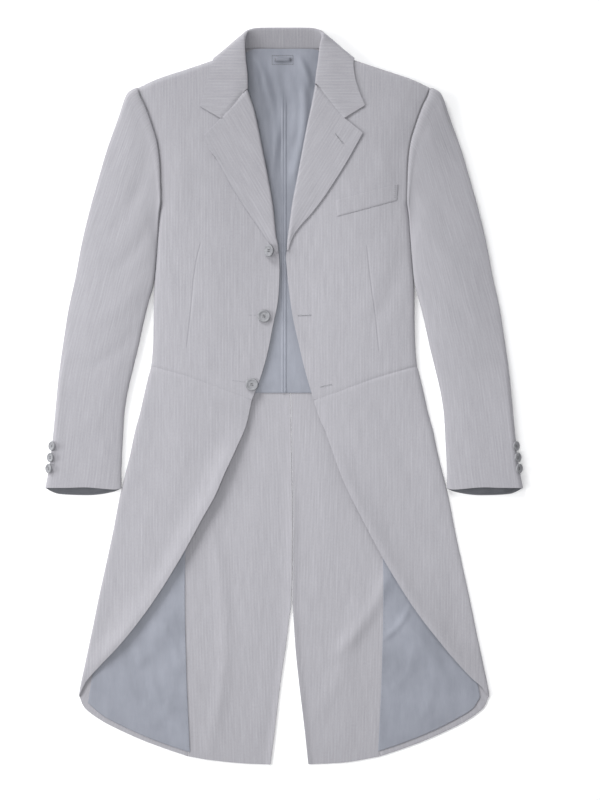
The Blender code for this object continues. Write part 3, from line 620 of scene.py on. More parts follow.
cloth = greyWool("greyWool")
# the fronts' wool, with painted shade and highlight along the darts
frontCloth = greyWool("greyWoolFront", dartShaded=True)
lining = blueGreyLining("blueGreyLining", 0.885)
neckLining = blueGreyLining("blueGreyNeckLining", 0.89)
# a darker copy of the lining for the hanger loop: painted shade
loopShadeLining = blueGreyLining("blueGreyLiningLoopShade", 0.72)
# a much darker copy of the lining: painted shade inside the sleeves and cuffs
cuffShadeLining = blueGreyLining("blueGreyLiningCuffShade", 0.3)
horn = greyHorn("greyHorn")
paleThread = sewingThread("paleThread", 0.36)
midThread = sewingThread("midThread", 0.2)
darkThread = sewingThread("darkThread", 0.13)
print("morning coat: materials made")

neckEdge = {
    -1: ((76.0, 537.0), (73.0, 520.0), (67.6, 500.0)),
    1: ((76.0, 537.0), (68.0, 520.0), (59.5, 501.0)),
}
# front darts, top to bottom: x, y
dartLine = {
    -1: ((-128.6, 245.0), (-136.4, 213.9), (-141.0, 182.9), (-144.2, 144.2), (-151.9, 74.4)),
    1: ((127.1, 241.8), (130.2, 210.8), (133.3, 182.9), (141.0, 128.7), (147.3, 66.7)),
}


def seamDip(distance, share=1.0):
    return coat["seamDip"] * share * (1.0 - eased(distance / coat["seamReach"]))


def dartShadeMap(side):
    # where to paint a dart's shade and highlight: distance across the dart line and share down it
    def marks(points):
        x, y = points[..., 0], points[..., 1]
        rows = dartLine[side]
        ys = [row[1] for row in reversed(rows)]
        lineX = np.interp(y, ys, [row[0] for row in reversed(rows)])
        top, low = rows[0][1], rows[-1][1]
        return (x - lineX) * mm, (top - y) / (top - low)

    return marks


rollInset = coat["lapelRoll"] + coat["frontWall"] / 2.0 + coat["rollRoom"]
front = {
    "across": 185.0,
    "rollFrom": 238,  # y from which a front's edge draws back under the lapel's roll, and where it is there
    "rollTo": 270,
}


def forepart(side):
    half, gap = coat["frontWall"] / 2.0, coat["seamGap"]
    inner = neckEdge[side]
    for out, y in rollLine[side]:
        share = float(ramp(y, front["rollFrom"], front["rollTo"]))
        inner += ((out + gap + (rollInset - gap) * share, y),)
    inner += frontEdge[side]
    low = seamLine(waistLine[:-1] + (frontEdge[side][-1],))
    patch = patchOf(seamLine(shoulderLine), low, seamLine(armholeLine + sideLine[1:]), seamLine(inner))
    down, width, fold = armLength + sideLength, front["across"], coat["sideFold"]

    def surface(u, v):
        belowArm = np.maximum(0.0, armLength - v * down)
        riseSide = quarterRound(np.hypot(u * width, belowArm), fold)
        riseTop = quarterRound(v * (down + 120.0 * u), fold)
        tucked = eased((v * down - armLength) / 10.0 + 1.0)
        out, y = patch(u + half * (1.0 - riseSide) * tucked / width, v + half * (1.0 - riseTop) / down)
        middle = foldMiddle(y)
        atArm = np.hypot(u * width, np.maximum(0.0, v * down - armLength))
        top = coatTop(side * out, y) - half - seamDip(atArm, coat["armholeDip"])
        top = top - seamDip((1.0 - v) * down, 1.0 - 0.7 * u)
        return places(side * out, y, middle + (top - middle) * riseSide * riseTop)

    us = steps(width, 3.0, roundSteps(fold, 9), (2.0, 0.9))
    vs = steps(down, 3.2, roundSteps(fold, 9), seamRowsBack)
    vs[-1] = 1.0 - 0.2 * coat["seamGap"] / down
    name = wearer(side, "forepart")
    return clothPiece(
        name, surface, us, vs, coat["frontWall"], (frontCloth, lining), straight(-1),
        at=(0.6, 0.6), lined=True, marks=dartShadeMap(side), rim=0.7,
        on=(wearer(side, "back"), wearer(side, "side_body"), "lining_back"),
    )


backs = {
    "long": 1060.0,
    "across": 160.0,
    "grainSlant": 0.03,  # the stripes run a little out towards the hem
    "centreRise": 1.9,  # both halves stand up a little along the centre back
    "centreReach": 7.0,
}


def back(side):
    half, fold, down = coat["bodyWall"] / 2.0, coat["sideFold"], backs["long"]
    outer = seamLine(armholeLine + backSeam[1:] + pleatLine[1:])
    inner = tuple((side * x + coat["centreGap"], y) for x, y in centreBack[side])
    top = seamLine(shoulderLine + backNeck[:-1] + (inner[0],))
    low = seamLine(backHem[side][:-1] + (inner[-1],))
    patch = patchOf(top, low, outer, seamLine(inner))

    def surface(u, v):
        startOut = patch(u, 0.0 * v)[0]
        share = ramp(startOut, 60, 76)
        riseTop = 1.0 - (1.0 - quarterRound(v * down, fold)) * share
        out, y = patch(u, v + half * (1.0 - riseTop) / down)
        riseSide = quarterRound(lineDistance(out, y, sideLine), fold)
        base = bodyBase(out, y) + half
        toCentre = (1.0 - u) * backs["across"]
        base = base + insideRise(side * out, y) * ramp(y, -30, -90) * eased(toCentre / 20.0)
        centreRise = backs["centreRise"] * np.exp(-((toCentre / backs["centreReach"]) ** 2))
        base = base + centreRise * ramp(y, -20, -220)
        rise = riseSide * riseTop
        return places(side * out, y, base + (foldMiddle(y) - base) * (1.0 - rise))

    us = steps(165.0, 4.0, (1.0, 2.4), (2.4, 1.0))
    vs = steps(down, 4.2, roundSteps(fold, 8), (2.0,))
    return clothPiece(
        wearer(side, "back"), surface, us, vs, coat["bodyWall"], (cloth,),
        lambda p: grainMap(p, backs["grainSlant"] * side, 1.0, -1), faceUp=False, at=(0.7, 0.6),
        on=("floor", "collar"),
    )


def sideBody(side):
    half, fold = coat["bodyWall"] / 2.0, coat["sideFold"]
    outer = ((191.3, 297.5),) + sideLine[1:]
    inner = ((190.4, 297.5),) + tuple((out + coat["pleatGap"], y) for out, y in backSeam[1:])
    low = seamLine((sideLine[-1], (178.0, 46.0), inner[-1]))
    patch = patchOf(seamLine((outer[0], inner[0])), low, seamLine(outer), seamLine(inner))

    def surface(u, v):
        width = 1.0 + 56.0 * v
        rise = quarterRound(u * width, fold)
        out, y = patch(u + half * (1.0 - rise) / width, v)
        return places(side * out, y, half + (foldMiddle(y) - half) * (1.0 - rise))

    # closer together round the fold
    us = np.array([0.0006, 0.01, 0.03, 0.06, 0.1, 0.15, 0.22, 0.3, 0.4, 0.52, 0.64, 0.76, 0.88, 1.0])
    vs = steps(sideLength, 5.0)
    vs[-1] = 1.0 - 0.5 * coat["seamGap"] / sideLength
    return clothPiece(
        wearer(side, "side_body"), surface, us, vs, coat["bodyWall"], (cloth, lining),
        straight(-1), faceUp=False, at=(0.8, 0.8), lined=True, rim=0.3, on=("floor",),
    )


skirts = {
    "long": 520.0,
    "foldShare": 0.3,  # of each layer's columns, round the side fold
    "hemFold": 5.0,  # the side fold's radius at the hem
    "standOff": {-1: 7.0, 1: 5.4},  # the front edges stand a little off the linings
    "standReach": 22.0,
}


def skirt(side):
    half, arc, long = coat["bodyWall"] / 2.0, skirts["foldShare"], skirts["long"]
    foldLine = seamLine(skirtSide)
    pleat = tuple((out + coat["pleatGap"], y) for out, y in pleatLine)
    over = patchOf(
        seamLine(waistLine[:-1] + (cutaway[side][0],)), seamLine((skirtSide[-1], cutaway[side][-1])),
        foldLine, seamLine(cutaway[side]),
    )
    under = patchOf(
        seamLine((underWaist[0], underWaist[1], pleat[0])), seamLine(hemLine[:-1] + (pleat[-1],)),
        foldLine, seamLine(pleat),
    )

    def layer(patch, share, v, upper):
        near, far = patch(0.0 * v, v), patch(0.0 * v + 1.0, v)
        width = np.linalg.norm(far - near, axis=0)
        hemFold = skirts["hemFold"]
        radius = hemFold + (coat["sideFold"] - hemFold) * ramp(near[1], -460, -160)
        radius = np.minimum(radius, 0.8 * width)
        angle = np.minimum(share / arc, 1.0) * math.pi / 2.0
        onward = radius + (width - radius) * (share - arc) / (1.0 - arc)
        distance = np.where(share < arc, radius * (1.0 - np.cos(angle)), onward)
        rise = np.where(share < arc, np.sin(angle), 1.0)
        out, y = patch((distance + half * (1.0 - rise)) / width, v)
        middle = foldMiddle(y)
        toFront = width - distance
        if upper:
            level = coatTop(side * out, y) - half - seamDip(v * long, 1.0 - 0.7 * eased(share))
            level = level - 0.5 * (1.0 - eased(toFront / 9.0)) * ramp(y, -440, -380)
            along = ramp(y, -25, -135) * ramp(y, -448, -368)
            standing = np.exp(-((toFront / skirts["standReach"]) ** 2))
            level = level + skirts["standOff"][side] * along * standing
        else:
            level = half + 0.0 * y
        return places(side * out, y, middle + (level - middle) * rise)

    def surface(w, v):
        upper = layer(over, np.abs(w), v, True)
        lower = layer(under, np.abs(w), v, False)
        return np.where((w < 0.0)[..., None], upper, lower)

    # from the front edge over the side fold and under to the pleat
    us = np.concatenate([
        [-1.0, -0.993, -0.98], np.linspace(-0.96, -arc, 56), np.linspace(-arc, arc, 17)[1:-1],
        np.linspace(arc, 1.0, 26),
    ])
    vs = steps(long, 3.4, seamRows)
    vs[0] = 0.2 * coat["seamGap"] / long
    piece = clothPiece(
        wearer(side, "skirt"), surface, us, vs, coat["bodyWall"], (cloth, lining, cloth),
        lambda p: grainMap(p, 0.0, 1.0, 0, int((us <= 0.0).sum())), at=(0.3, 0.4), lined=True,
        on=("floor", wearer(side, "lining_skirt")),
    )
    # the under layer is wool on both faces, its lining is a piece of its own
    for face in piece.data.polygons:
        if face.center.z < foldMiddle(face.center.y / mm + coat["middleY"]) * mm:
            face.material_index = 2
    return piece


sleeveOuter = (
    (226.3, 480.5), (234, 478.6), (241.5, 474), (246.5, 465), (255.8, 437), (273.6, 387.5), (288.3, 338),
    (302.3, 288), (313.9, 238.7), (323.2, 189), (334, 139.5), (341.8, 90), (348.8, 40.3), (353.8, -9.3),
    (358.5, -58.9), (364.5, -108), (370.5, -139.5),
)
sleeveInner = (
    (191, 300), (192.9, 291.4), (194.6, 276), (196, 252.7), (199.4, 210), (203.2, 175), (210, 150.4),
    (218, 117.8), (226.3, 79), (234, 48), (243, 9.3), (248, -23.3), (250, -55.8), (252.7, -110),
    (252.7, -140),
)
cuffTop = ((370.5, -139.5), (335, -139.2), (305, -138.6), (262, -142), (252.7, -140))
cuffUnder = (
    (370.5, -139.5), (360, -145.5), (349, -149), (312, -150.8), (290, -150), (263, -145), (252.7, -140),
)
# along the sleeve from armhole to cuff: fraction, height, width
sleeveShape = (
    (0.0, 20.0, 190.0), (0.18, 20.0, 160.0), (0.45, 18.5, 128.0), (0.7, 16.0, 118.0), (1.0, 13.5, 118.0),
)
sleeves = {
    "long": 600.0,
    "across": 122.0,
    "crownSwell": 0.7,  # the crown swells a little beyond its seam
    "swellAt": 9.0,
    "swellReach": 6.0,
}


def sleeve(side, upper):
    half, fold, long = coat["sleeveWall"] / 2.0, coat["sideFold"], sleeves["long"]
    armhole = tuple((out + coat["armholeGap"], y) for out, y in armholeLine)
    outer, inner = armhole[:1] + sleeveOuter[1:], armhole[-1:] + sleeveInner[1:]
    hem = cuffTop if upper else cuffUnder
    patch = patchOf(seamLine(armhole), seamLine(hem), seamLine(outer), seamLine(inner))
    at = [row[0] for row in sleeveShape]

    def surface(u, v):
        height = np.interp(v, at, [row[1] for row in sleeveShape])
        width = np.interp(v, at, [row[2] for row in sleeveShape])
        riseOut = quarterRound(u * width, fold)
        riseIn = quarterRound((1.0 - u) * width, fold)
        out, y = patch(u + half * (riseIn - riseOut) * eased(v / 0.02) / width, v)
        away = eased(v / 0.2)
        middle = foldMiddle(y) * (1.0 - away) + 0.5 * height * away
        if upper:
            level = bodyHeight(out, y) * (1.0 - away) + height * away - half
            level = level + creaseField(side * out, y, upperCreases)
            # rounded across, but full under the cuff buttons
            fromMiddle = 2.0 * u - 1.0
            dome = eased(v / 0.16) * (1.0 - ramp(v, 0.58, 0.83) * ramp(u, 0.6, 0.2))
            level = level + dome * (0.6 * fromMiddle - 0.6 - 0.33 * height * fromMiddle**2)
            fromSwell = (v * long - sleeves["swellAt"]) / sleeves["swellReach"]
            swell = sleeves["crownSwell"] * np.exp(-(fromSwell**2))
            level = level - seamDip(v * long, coat["armholeDip"]) + swell
        else:
            level = half + 0.0 * y
        return places(side * out, y, middle + (level - middle) * riseOut * riseIn)

    folds = roundSteps(fold, 8)
    us = steps(sleeves["across"], 3.0, folds, tuple(reversed(folds)))
    us[0], us[-1] = 0.0002, 0.9998
    vs = steps(long, 3.4, seamRows, (1.6, 0.7))
    vs[0] = 2.0 * coat["seamGap"] / long
    word = "top_sleeve" if upper else "under_sleeve"
    # inside, the sleeve takes the lining's darker copy: painted shade
    return clothPiece(
        wearer(side, word), surface, us, vs, coat["sleeveWall"], (cloth, cuffShadeLining),
        lambda p: walkMap(p, len(us) // 2), faceUp=upper, lined=True,
        on=(wearer(side, "under_sleeve"),) if upper else ("floor",),
    )


# the part of the sleeve's lining that shows: out, y
cuffHem = ((357, -141.5), (348, -145.6), (312, -147.4), (290, -146.6), (266, -141))
cuffLiningTop = ((347, -60), (300, -60), (262, -60))


def sleeveLining(side):
    level = coat["sleeveWall"] + coat["seamGap"] + coat["liningWall"] / 2.0
    sides = (seamLine((cuffLiningTop[end], cuffHem[end])) for end in (0, -1))
    patch = patchOf(seamLine(cuffLiningTop), seamLine(cuffHem), *sides)

    def surface(u, v):
        out, y = patch(u, v)
        ripple = 0.35 + 0.35 * np.sin(out * 0.21 + 0.7 * np.sin(y * 0.05))
        return places(side * out, y, level + ripple)

    # in the lining's darker copy: painted shade inside the cuff
    return clothPiece(
        wearer(side, "sleeve_lining"), surface, steps(92.0, 2.5), steps(84.0, 2.5), coat["liningWall"],
        (cuffShadeLining,), straight(0), rim=0.3, on=(wearer(side, "under_sleeve"),),
    )


lapelTop = {
    -1: (
        (55.8, 477), (66.3, 466.2), (76.7, 455.4), (87.2, 444.5), (97.6, 433.6), (110.8, 420.6),
        (124, 407.6),
    ),
    1: ((48, 485), (59.3, 472.4), (70.7, 459.6), (82, 446.9), (93.4, 434.2), (107.9, 422.4), (122.4, 410.7)),
}
lapelEdge = {
    -1: (
        (124, 407.6), (115, 384), (103.9, 369), (83.7, 332), (68.2, 307), (52.7, 283.6), (38.8, 263.5),
        (28.5, 248.5), (18.6, 236.5), (12, 226),
    ),
    1: (
        (122.4, 410.7), (110, 389), (102.3, 375), (88.3, 351.8), (74.4, 330), (58.9, 307), (40.3, 283.6),
        (24.8, 266.6), (14.6, 252.5), (9.6, 240.5), (7.8, 229),
    ),
}
lapels = {
    "long": 250.0,
    "foldShare": 0.25,  # of its columns, round the roll
    "tuck": 1.8,  # how far its top reaches under the collar
    "endRoll": 1.3,  # radius of the roll at its lower end
    "lift": 0.4,  # clear of the front under it
    "belly": 0.7,
    "endDown": 1.3,
    "topSunk": 1.1,  # where its top lies under the collar
}


def lapel(side):
    half, arc, long = coat["frontWall"] / 2.0, lapels["foldShare"], lapels["long"]
    lap = -lapels["tuck"] / long
    end = seamLine((rollLine[side][-1], lapelEdge[side][-1]))
    patch = patchOf(seamLine(lapelTop[side]), end, seamLine(rollLine[side]), seamLine(lapelEdge[side]))

    def firstShare(v, reach):
        # where the lapel leaves its roll and runs flat
        low, high = np.zeros_like(v), np.full_like(v, 0.95)
        start = patch(0.0 * v, v)[0]
        for _ in range(24):
            middle = 0.5 * (low + high)
            inside = patch(middle, v)[0] - start < reach
            low, high = np.where(inside, middle, low), np.where(inside, high, middle)
        return low

    def surface(w, v):
        # up to the notch its top reaches under the collar's end, and beyond it is a free edge
        under = (1.0 - v - lap) / (1.0 - lap)
        v = v + (0.0012 - lap) * ramp(w, 0.67, 0.72) * eased(1.0 - (v - lap) / 0.05)
        sunk = lapels["topSunk"] * ramp(w, 0.7, 0.65) * eased(1.0 - (1.0 - under) * long / 2.0)
        # towards its lower end the roll dies away and the lapel runs into the front edge
        endRoll = lapels["endRoll"]
        roll = endRoll + (coat["lapelRoll"] - endRoll) * ramp(v, 1, 0.84)
        reach = roll + half
        first = firstShare(v, reach)
        startOut, startY = patch(0.0 * v, v)
        firstAngle = -0.5 * np.pi * ramp(v, 0.95, 0.83)
        angle = firstAngle + (0.5 * np.pi - firstAngle) * np.minimum(w, arc) / arc
        centre = startOut + reach
        turnY = startY + (patch(first, v)[1] - startY) * (0.5 + 0.5 * np.sin(angle))
        turnZ = coatTop(side * centre, turnY) + roll - half + roll * np.sin(angle)
        turned = places(side * (centre - roll * np.cos(angle)), turnY, turnZ)
        share = np.clip((w - arc) / (1.0 - arc), 0.0, 1.0)
        out, y = patch(first + (1.0 - first) * share, v)
        clear = lapels["lift"]
        lift = half + clear + (2.0 * roll - 2.0 * half - clear) * (1.0 - eased(share * 1.2))
        lift = lift + lapels["belly"] * np.sin(np.pi * share) * eased(v / 0.3) * ramp(v, 1, 0.7)
        lift = lift - lapels["endDown"] * ramp(v, 0.94, 1) - sunk
        laid = places(side * out, y, coatTop(side * out, y) + lift)
        return np.where((w < arc)[..., None], turned, laid)

    us = np.concatenate([np.linspace(0.0, arc, 13)[:-1], np.linspace(arc, 0.985, 34), [0.993, 1.0]])
    vs = steps(long, 2.6, (1.0, 2.2), (2.0,))
    vs[0] = lap
    run = np.array(lapelEdge[side][0]) - np.array(lapelEdge[side][5])
    return clothPiece(
        wearer(side, "lapel"), surface, us, vs, coat["frontWall"], (cloth,),
        lambda p: grainMap(p, side * run[0], run[1], -1), at=(0.7, 0.4), rim=0.7,
        on=(wearer(side, "forepart"),),
    )


# collar from the back middle round to the shoulder: where the stand is sewn, the roll, two lines along
# the leaf and its edge, each out, y, height; then the turn that swings the leaf from under the stand
# to beside it
collarBack = (
    ((0, 542.8, 3), (0, 573.5, 12), (0, 560, 2.2), (0, 546, 1.05), (0, 531, 1.05), -90),
    ((24, 542.8, 3), (24, 573.5, 12), (24, 560, 2.2), (24, 546, 1.05), (24, 531, 1.05), -90),
    ((46, 542.8, 3.4), (43, 573, 12.5), (48, 559, 2.6), (52, 546, 1.05), (56, 530, 1.05), -80),
    ((62, 542.4, 6), (54, 570.5, 14), (65, 557, 5), (74, 546, 2), (84, 529.5, 1.4), -55),
    ((72, 541.2, 9.5), (58.5, 567, 17), (74, 555, 10.5), (87, 543.5, 8), (104, 528, 6), -15),
    ((75, 538.9, 15.5), (60, 561, 21.5), (76, 551.5, 18.5), (89.5, 540.5, 18), (108.5, 525.8, 16.6), 25),
)
# over the foreparts, from the shoulder to the gorge and notch: roll, two lines along the leaf, edge: out, y
collarFront = {
    -1: (
        ((59.9, 546), (76, 541.5), (91, 532.5), (111, 518.5)),
        ((58.9, 524), (75, 519), (93, 510), (116, 502)),
        ((56.4, 500.7), (74, 491), (94, 474), (123, 476.5)),
        ((55.8, 477.9), (72, 469.2), (98, 434.4), (130.2, 451.5)),
    ),
    1: (
        ((55.5, 546), (73, 541.5), (88, 534), (107.5, 519)),
        ((52.9, 524), (70, 519), (88, 510), (109, 502)),
        ((50, 503), (69, 491), (90, 474), (115, 479)),
        ((48, 485.9), (62.8, 472.4), (94.2, 433.6), (125.5, 453)),
    ),
}
leafEnd = {-1: ((96.3, 432.2), (130.2, 451.5)), 1: ((92.2, 432.7), (125.5, 453))}


def shoulderFace(x, y):
    # top face by the shoulder fold, where the collar leaf bridges the fold's round
    rows = sorted(shoulderLine)
    inside = y < np.interp(abs(x), [row[0] for row in rows], [row[1] for row in rows])
    distance = lineDistance(abs(x), y, shoulderLine) if inside else 0.0
    middle = foldMiddle(y)
    return middle + (coatTop(x, y) - middle) * max(0.86, float(quarterRound(distance, coat["sideFold"])))


def collarSections():
    # seven points across the collar at each station, from one gorge round to the other
    half, radius, found = coat["collarWall"] / 2.0, 1.9, {}
    for side in (-1, 1):
        rows = [[np.array(point) for point in row[:5]] + [row[5]] for row in collarBack]
        rollOut, rollY = rollLine[side][0]
        neck = seamLine(neckEdge[side] + ((rollOut + rollInset, rollY),))
        for k, (rollAt, leafA, leafB, edge) in enumerate(collarFront[side]):
            out, y = neck((0.08, 0.35, 0.68, 0.985)[k])
            out -= 1.0
            sewn = np.array((out, y, coatTop(side * out, y) - coat["frontWall"] / 2.0 + 0.2))
            points = [sewn, np.array((*rollAt, coatTop(side * rollAt[0], rollAt[1]) + 1.0))]
            for (out, y), lift in ((leafA, 2.6), (leafB, 1.6), (edge, 0.6)):
                points.append(np.array((out, y, shoulderFace(side * out, y) + half + lift)))
            rows.append(points + [(60.0, 90.0, 90.0, 90.0)[k]])
        sections = []
        for sewn, rollAt, leafA, leafB, edge, turn in rows:
            toBody = sewn - rollAt
            if turn > 50.0:
                toBody = np.array((1.0, -0.25 if turn < 80.0 else 0.0, 0.0))
            toBody = toBody / np.linalg.norm(toBody)
            flat = np.array((-toBody[1], toBody[0], 0.0))
            up = np.array((0.0, 0.0, 1.0)) - toBody * toBody[2]
            up /= np.linalg.norm(up)
            leafWay = flat * math.cos(math.radians(turn)) + up * math.sin(math.radians(turn))
            leafWay /= np.linalg.norm(leafWay)
            apex = rollAt + toBody * half
            middle = apex + toBody * radius
            line = [sewn, middle - leafWay * radius, apex, middle + leafWay * radius, leafA, leafB, edge]
            sections.append([(side * p[0], p[1], p[2]) for p in line])
        found[side] = sections
    return np.array(list(reversed(found[-1]))[:-1] + found[1])


def through(points, at):
    # smooth line through evenly numbered points, along their first axis
    last = len(points) - 1
    padded = np.concatenate([2 * points[:1] - points[1:2], points, 2 * points[-1:] - points[-2:-1]])
    k = np.clip(np.floor(at).astype(int), 0, last - 1)
    t = (at - k).reshape((-1,) + (1,) * (points.ndim - 1))
    before, a, b, after = padded[k], padded[k + 1], padded[k + 2], padded[k + 3]
    return cubic(a, b, 0.5 * (b - before), 0.5 * (after - a), t)


def collar():
    sections = collarSections()
    last = len(sections) - 1.0

    def surface(s, t):
        around = through(sections, t[:, 0])
        placed = np.swapaxes(through(np.swapaxes(around, 0, 1), s[0]), 0, 1)
        for side in (-1, 1):
            # both ends are cut straight, along the gorge to the notch and on to the leaf's point
            end = placed[0] if side < 0 else placed[-1]
            turned = end[np.abs(s[0] - 3.0).argmin(), :2]
            notch, point = (np.array((side * out, y)) for out, y in leafEnd[side])
            first = np.clip((s[0] - 3.0) / 2.0, 0.0, 1.0)[:, None]
            second = np.clip(s[0] - 5.0, 0.0, 1.0)[:, None]
            straight = turned + (notch - turned) * first + (point - notch) * second
            shift = np.where((s[0] > 3.0)[:, None], straight - end[:, :2], 0.0)
            toEnd = t[:, 0] if side < 0 else last - t[:, 0]
            placed[..., :2] += shift * eased(1.0 - toEnd / 1.3)[:, None, None]
            # the lapel's top lies over the sewn end
            sewn = np.where((s[0] > 3.2) & (s[0] < 5.0), 0.95, 0.0)
            placed[..., 2] -= sewn * eased(1.0 - toEnd / 0.26)[:, None]
        return placed

    def stripes(points):
        # stripes run from the stand over to the leaf's edge, across the coat where it lies on the fronts
        x, y = points[..., 0], points[..., 1]
        fromBack = np.abs(vs - last / 2.0)[:, None] + 0.0 * x
        onFront = ramp(fromBack, 3.5, 5.5)
        across = np.sign(x) * (np.abs(x) * (1.0 - onFront) + (610.0 - y) * onFront)
        return across * mm, walkMap(points, 0)[0]

    us = np.concatenate([
        np.linspace(0.0, 1.0, 9)[:-1], np.linspace(1.0, 3.0, 15)[:-1], np.linspace(3.0, 5.0, 21),
        np.linspace(5.0, 5.96, 10)[1:], [6.0],
    ])
    vs = np.concatenate([[0.0, 0.03], np.linspace(0.06, last - 0.06, 150), [last - 0.03, last]])
    return clothPiece(
        "collar", surface, us, vs, coat["collarWall"], (cloth,), stripes, at=(0.8, 0.1),
        on=("forepart_left", "forepart_right", "floor"),
    )


backLiningSide = ((168, 487), (176, 420), (172, 340), (176, 290), (182, 200), (185, 100), (186, 40))
backLiningTop = ((168, 487), (120, 506), (84, 519), (56, 538), (44, 541.6), (0, 541.8))
neckCreases = (
    (-31, 505, -20, 340, 3.2, 7), (28, 500, 16, 350, 3.6, 7), (-10, 500, -14, 380, 1.5, 6),
    (13, 488, 12, 400, 1.0, 5), (24, 526, 40, 482, 2.6, 5), (-42, 522, -30, 468, 2.2, 6),
)


backPleat = {
    "rise": 0.9,
    "furrow": 0.5,
    "start": (478, 438),  # y
}


def backLining():
    level = coat["bodyWall"] + 2.0 * coat["seamGap"] + coat["liningWall"] / 2.0
    rightSide, topEdge = seamLine(backLiningSide), seamLine(backLiningTop)

    def surface(u, v):
        share = np.abs(u)
        edgeTop, edge = topEdge(1.0 - share), rightSide(v)
        lowY = 8.0 + 32.0 * eased((backLiningSide[-1][0] * share - 60.0) / 80.0)
        out = edge[..., 0] * share + (edgeTop[..., 0] - backLiningSide[0][0] * share) * (1.0 - v)
        y = edgeTop[..., 1] * (1.0 - v) + lowY * v
        x = np.where(u >= 0.0, out, -out)
        # the centre pleat starts below the neck: a raised fold with a furrow down its middle
        pleat = backPleat["rise"] * (ramp(x, -4, -2.6) - ramp(x, 2.6, 4))
        pleat = pleat - backPleat["furrow"] * np.exp(-((x / 0.8) ** 2))
        relief = creaseField(x, y, neckCreases) + pleat * ramp(y, *backPleat["start"])
        inside = ramp(y, 542, 528) * eased((190.0 - np.abs(x)) / 20.0)
        return places(x, y, bodyBase(out, y) + level + np.maximum(-0.3, relief * inside))

    across = 178.0
    centre = np.array([0.6, 1.3, 2.1, 3.0, 3.9, 5.0, 6.5]) / across
    half = np.concatenate([centre, np.linspace(9.0 / across, 1.0, 52)])
    us = np.concatenate([-half[::-1], [0.0], half])
    return clothPiece(
        "lining_back", surface, us, steps(540.0, 3.4, (1.0, 2.2)), coat["liningWall"], (neckLining,),
        straight(0), rim=0.3, on=("back_left", "back_right"),
    )


skirtLiningSide = ((195, 34), (210, -23), (237, -130), (262, -257), (290, -385))
skirtLiningHem = {
    -1: ((304.5, -473), (282, -492.5), (254.5, -507.5), (217, -524.8), (181, -538.5), (146, -550)),
    1: ((304.5, -464), (293, -482), (267, -498.5), (231, -516.8), (184, -535.8), (146, -548.5)),
}
skirtLiningPleat = ((148, 34), (149, -60), (152, -200), (154, -299), (151.5, -430))


def skirtLining(side):
    across, level = 120.0, coat["bodyWall"] + coat["seamGap"] + coat["liningWall"] / 2.0
    pleat = skirtLiningPleat + (skirtLiningHem[side][-1],)
    outer = skirtLiningSide + (skirtLiningHem[side][0],)
    patch = patchOf(
        seamLine((outer[0], pleat[0])), seamLine(skirtLiningHem[side]), seamLine(outer), seamLine(pleat),
    )

    def surface(u, v):
        out, y = patch(u, v)
        x = side * out
        # small puckers where the edge is felled down
        pucker = 0.45 * np.sin(y * 0.55 + 1.3 * np.sin(y * 0.11)) * np.exp(-((1.0 - u) * across / 7.0))
        edge = eased(u * across / 12.0) * eased((1.0 - v) * 480.0 / 8.0)
        return places(x, y, level + (insideRise(x, y) - 0.25) * edge + np.abs(pucker) * edge)

    us = steps(across, 3.0, (), (6.0, 3.0, 1.2))
    return clothPiece(
        wearer(side, "lining_skirt"), surface, us, steps(530.0, 2.8, (), (2.0,)), coat["liningWall"],
        (lining,), straight(-1), rim=0.3, on=(wearer(side, "skirt"), wearer(side, "back")),
    )


welt = {
    # low front, low back, high back, high front
    "corners": ((82, 281), (175, 306), (176.5, 331), (80.5, 306.5)),
    "long": 96.0,
    "high": 25.0,
    "rise": 0.1,  # above the front, sunk at its three seams and fuller at its free edge
    "seamSunk": 0.5,
    "edgeFull": 0.25,
}


def breastWelt():
    lowFront, lowBack, highBack, highFront = welt["corners"]
    patch = patchOf(
        seamLine((lowFront, lowBack)), seamLine((highFront, highBack)),
        seamLine((lowFront, highFront)), seamLine((lowBack, highBack)),
    )

    def surface(u, v):
        x, y = patch(u, v)
        sewn = np.minimum(np.minimum(u, 1.0 - u) * welt["long"], v * welt["high"])
        lift = welt["rise"] + coat["weltWall"] / 2.0
        lift = lift - welt["seamSunk"] * (1.0 - eased(sewn / 2.4)) + welt["edgeFull"] * v
        return places(x, y, coatTop(x, y) + lift)

    us = steps(welt["long"], 2.4, (0.5, 1.1, 1.8), (1.8, 1.1, 0.5))
    vs = steps(welt["high"], 2.0, (0.5, 1.1, 1.8), (0.8,))
    return clothPiece(
        "breast_welt", surface, us, vs, coat["weltWall"], (cloth,), straight(0), rim=0.45,
        on=("forepart_left",),
    )


loop = {
    "x": -2.3,
    "y": 525.4,
    "length": 26.4,
    "width": 5.4,
    "wall": 1.2,
    "rise": 1.9,
    "above": 0.8,  # its ends' middle surface above the back lining
}


def hangerLoop():
    def surface(u, v):
        x = loop["x"] + (u - 0.5) * loop["length"]
        y = loop["y"] + (v - 0.5) * loop["width"]
        base = coat["neckLift"] + coat["bodyWall"] + 3.0 * coat["seamGap"] + coat["liningWall"]
        raised = loop["rise"] * eased(np.minimum(u, 1.0 - u) / 0.16) + 0.35 * np.sin(np.pi * v)
        return places(x, y, base + loop["above"] + raised)

    us, vs = steps(loop["length"], 1.0), steps(loop["width"], 0.8)
    # in the lining's darker copy: painted shade
    return clothPiece(
        "hanger_loop", surface, us, vs, loop["wall"], (loopShadeLining,),
        lambda p: grainMap(p, 1.0, 0.0, 0), rim=0.4, on=("lining_back",),
    )


laid = []
for side in (-1, 1):
    laid += [make(side) for make in (forepart, back, sideBody, skirt, lapel, sleeveLining, skirtLining)]
    laid += [sleeve(side, upper) for upper in (True, False)]
laid += [make() for make in (collar, backLining, breastWelt, hangerLoop)]
pieces = {piece.name.split(".")[0]: piece for piece in laid}
print("morning coat: cloth laid,", len(pieces), "pieces")

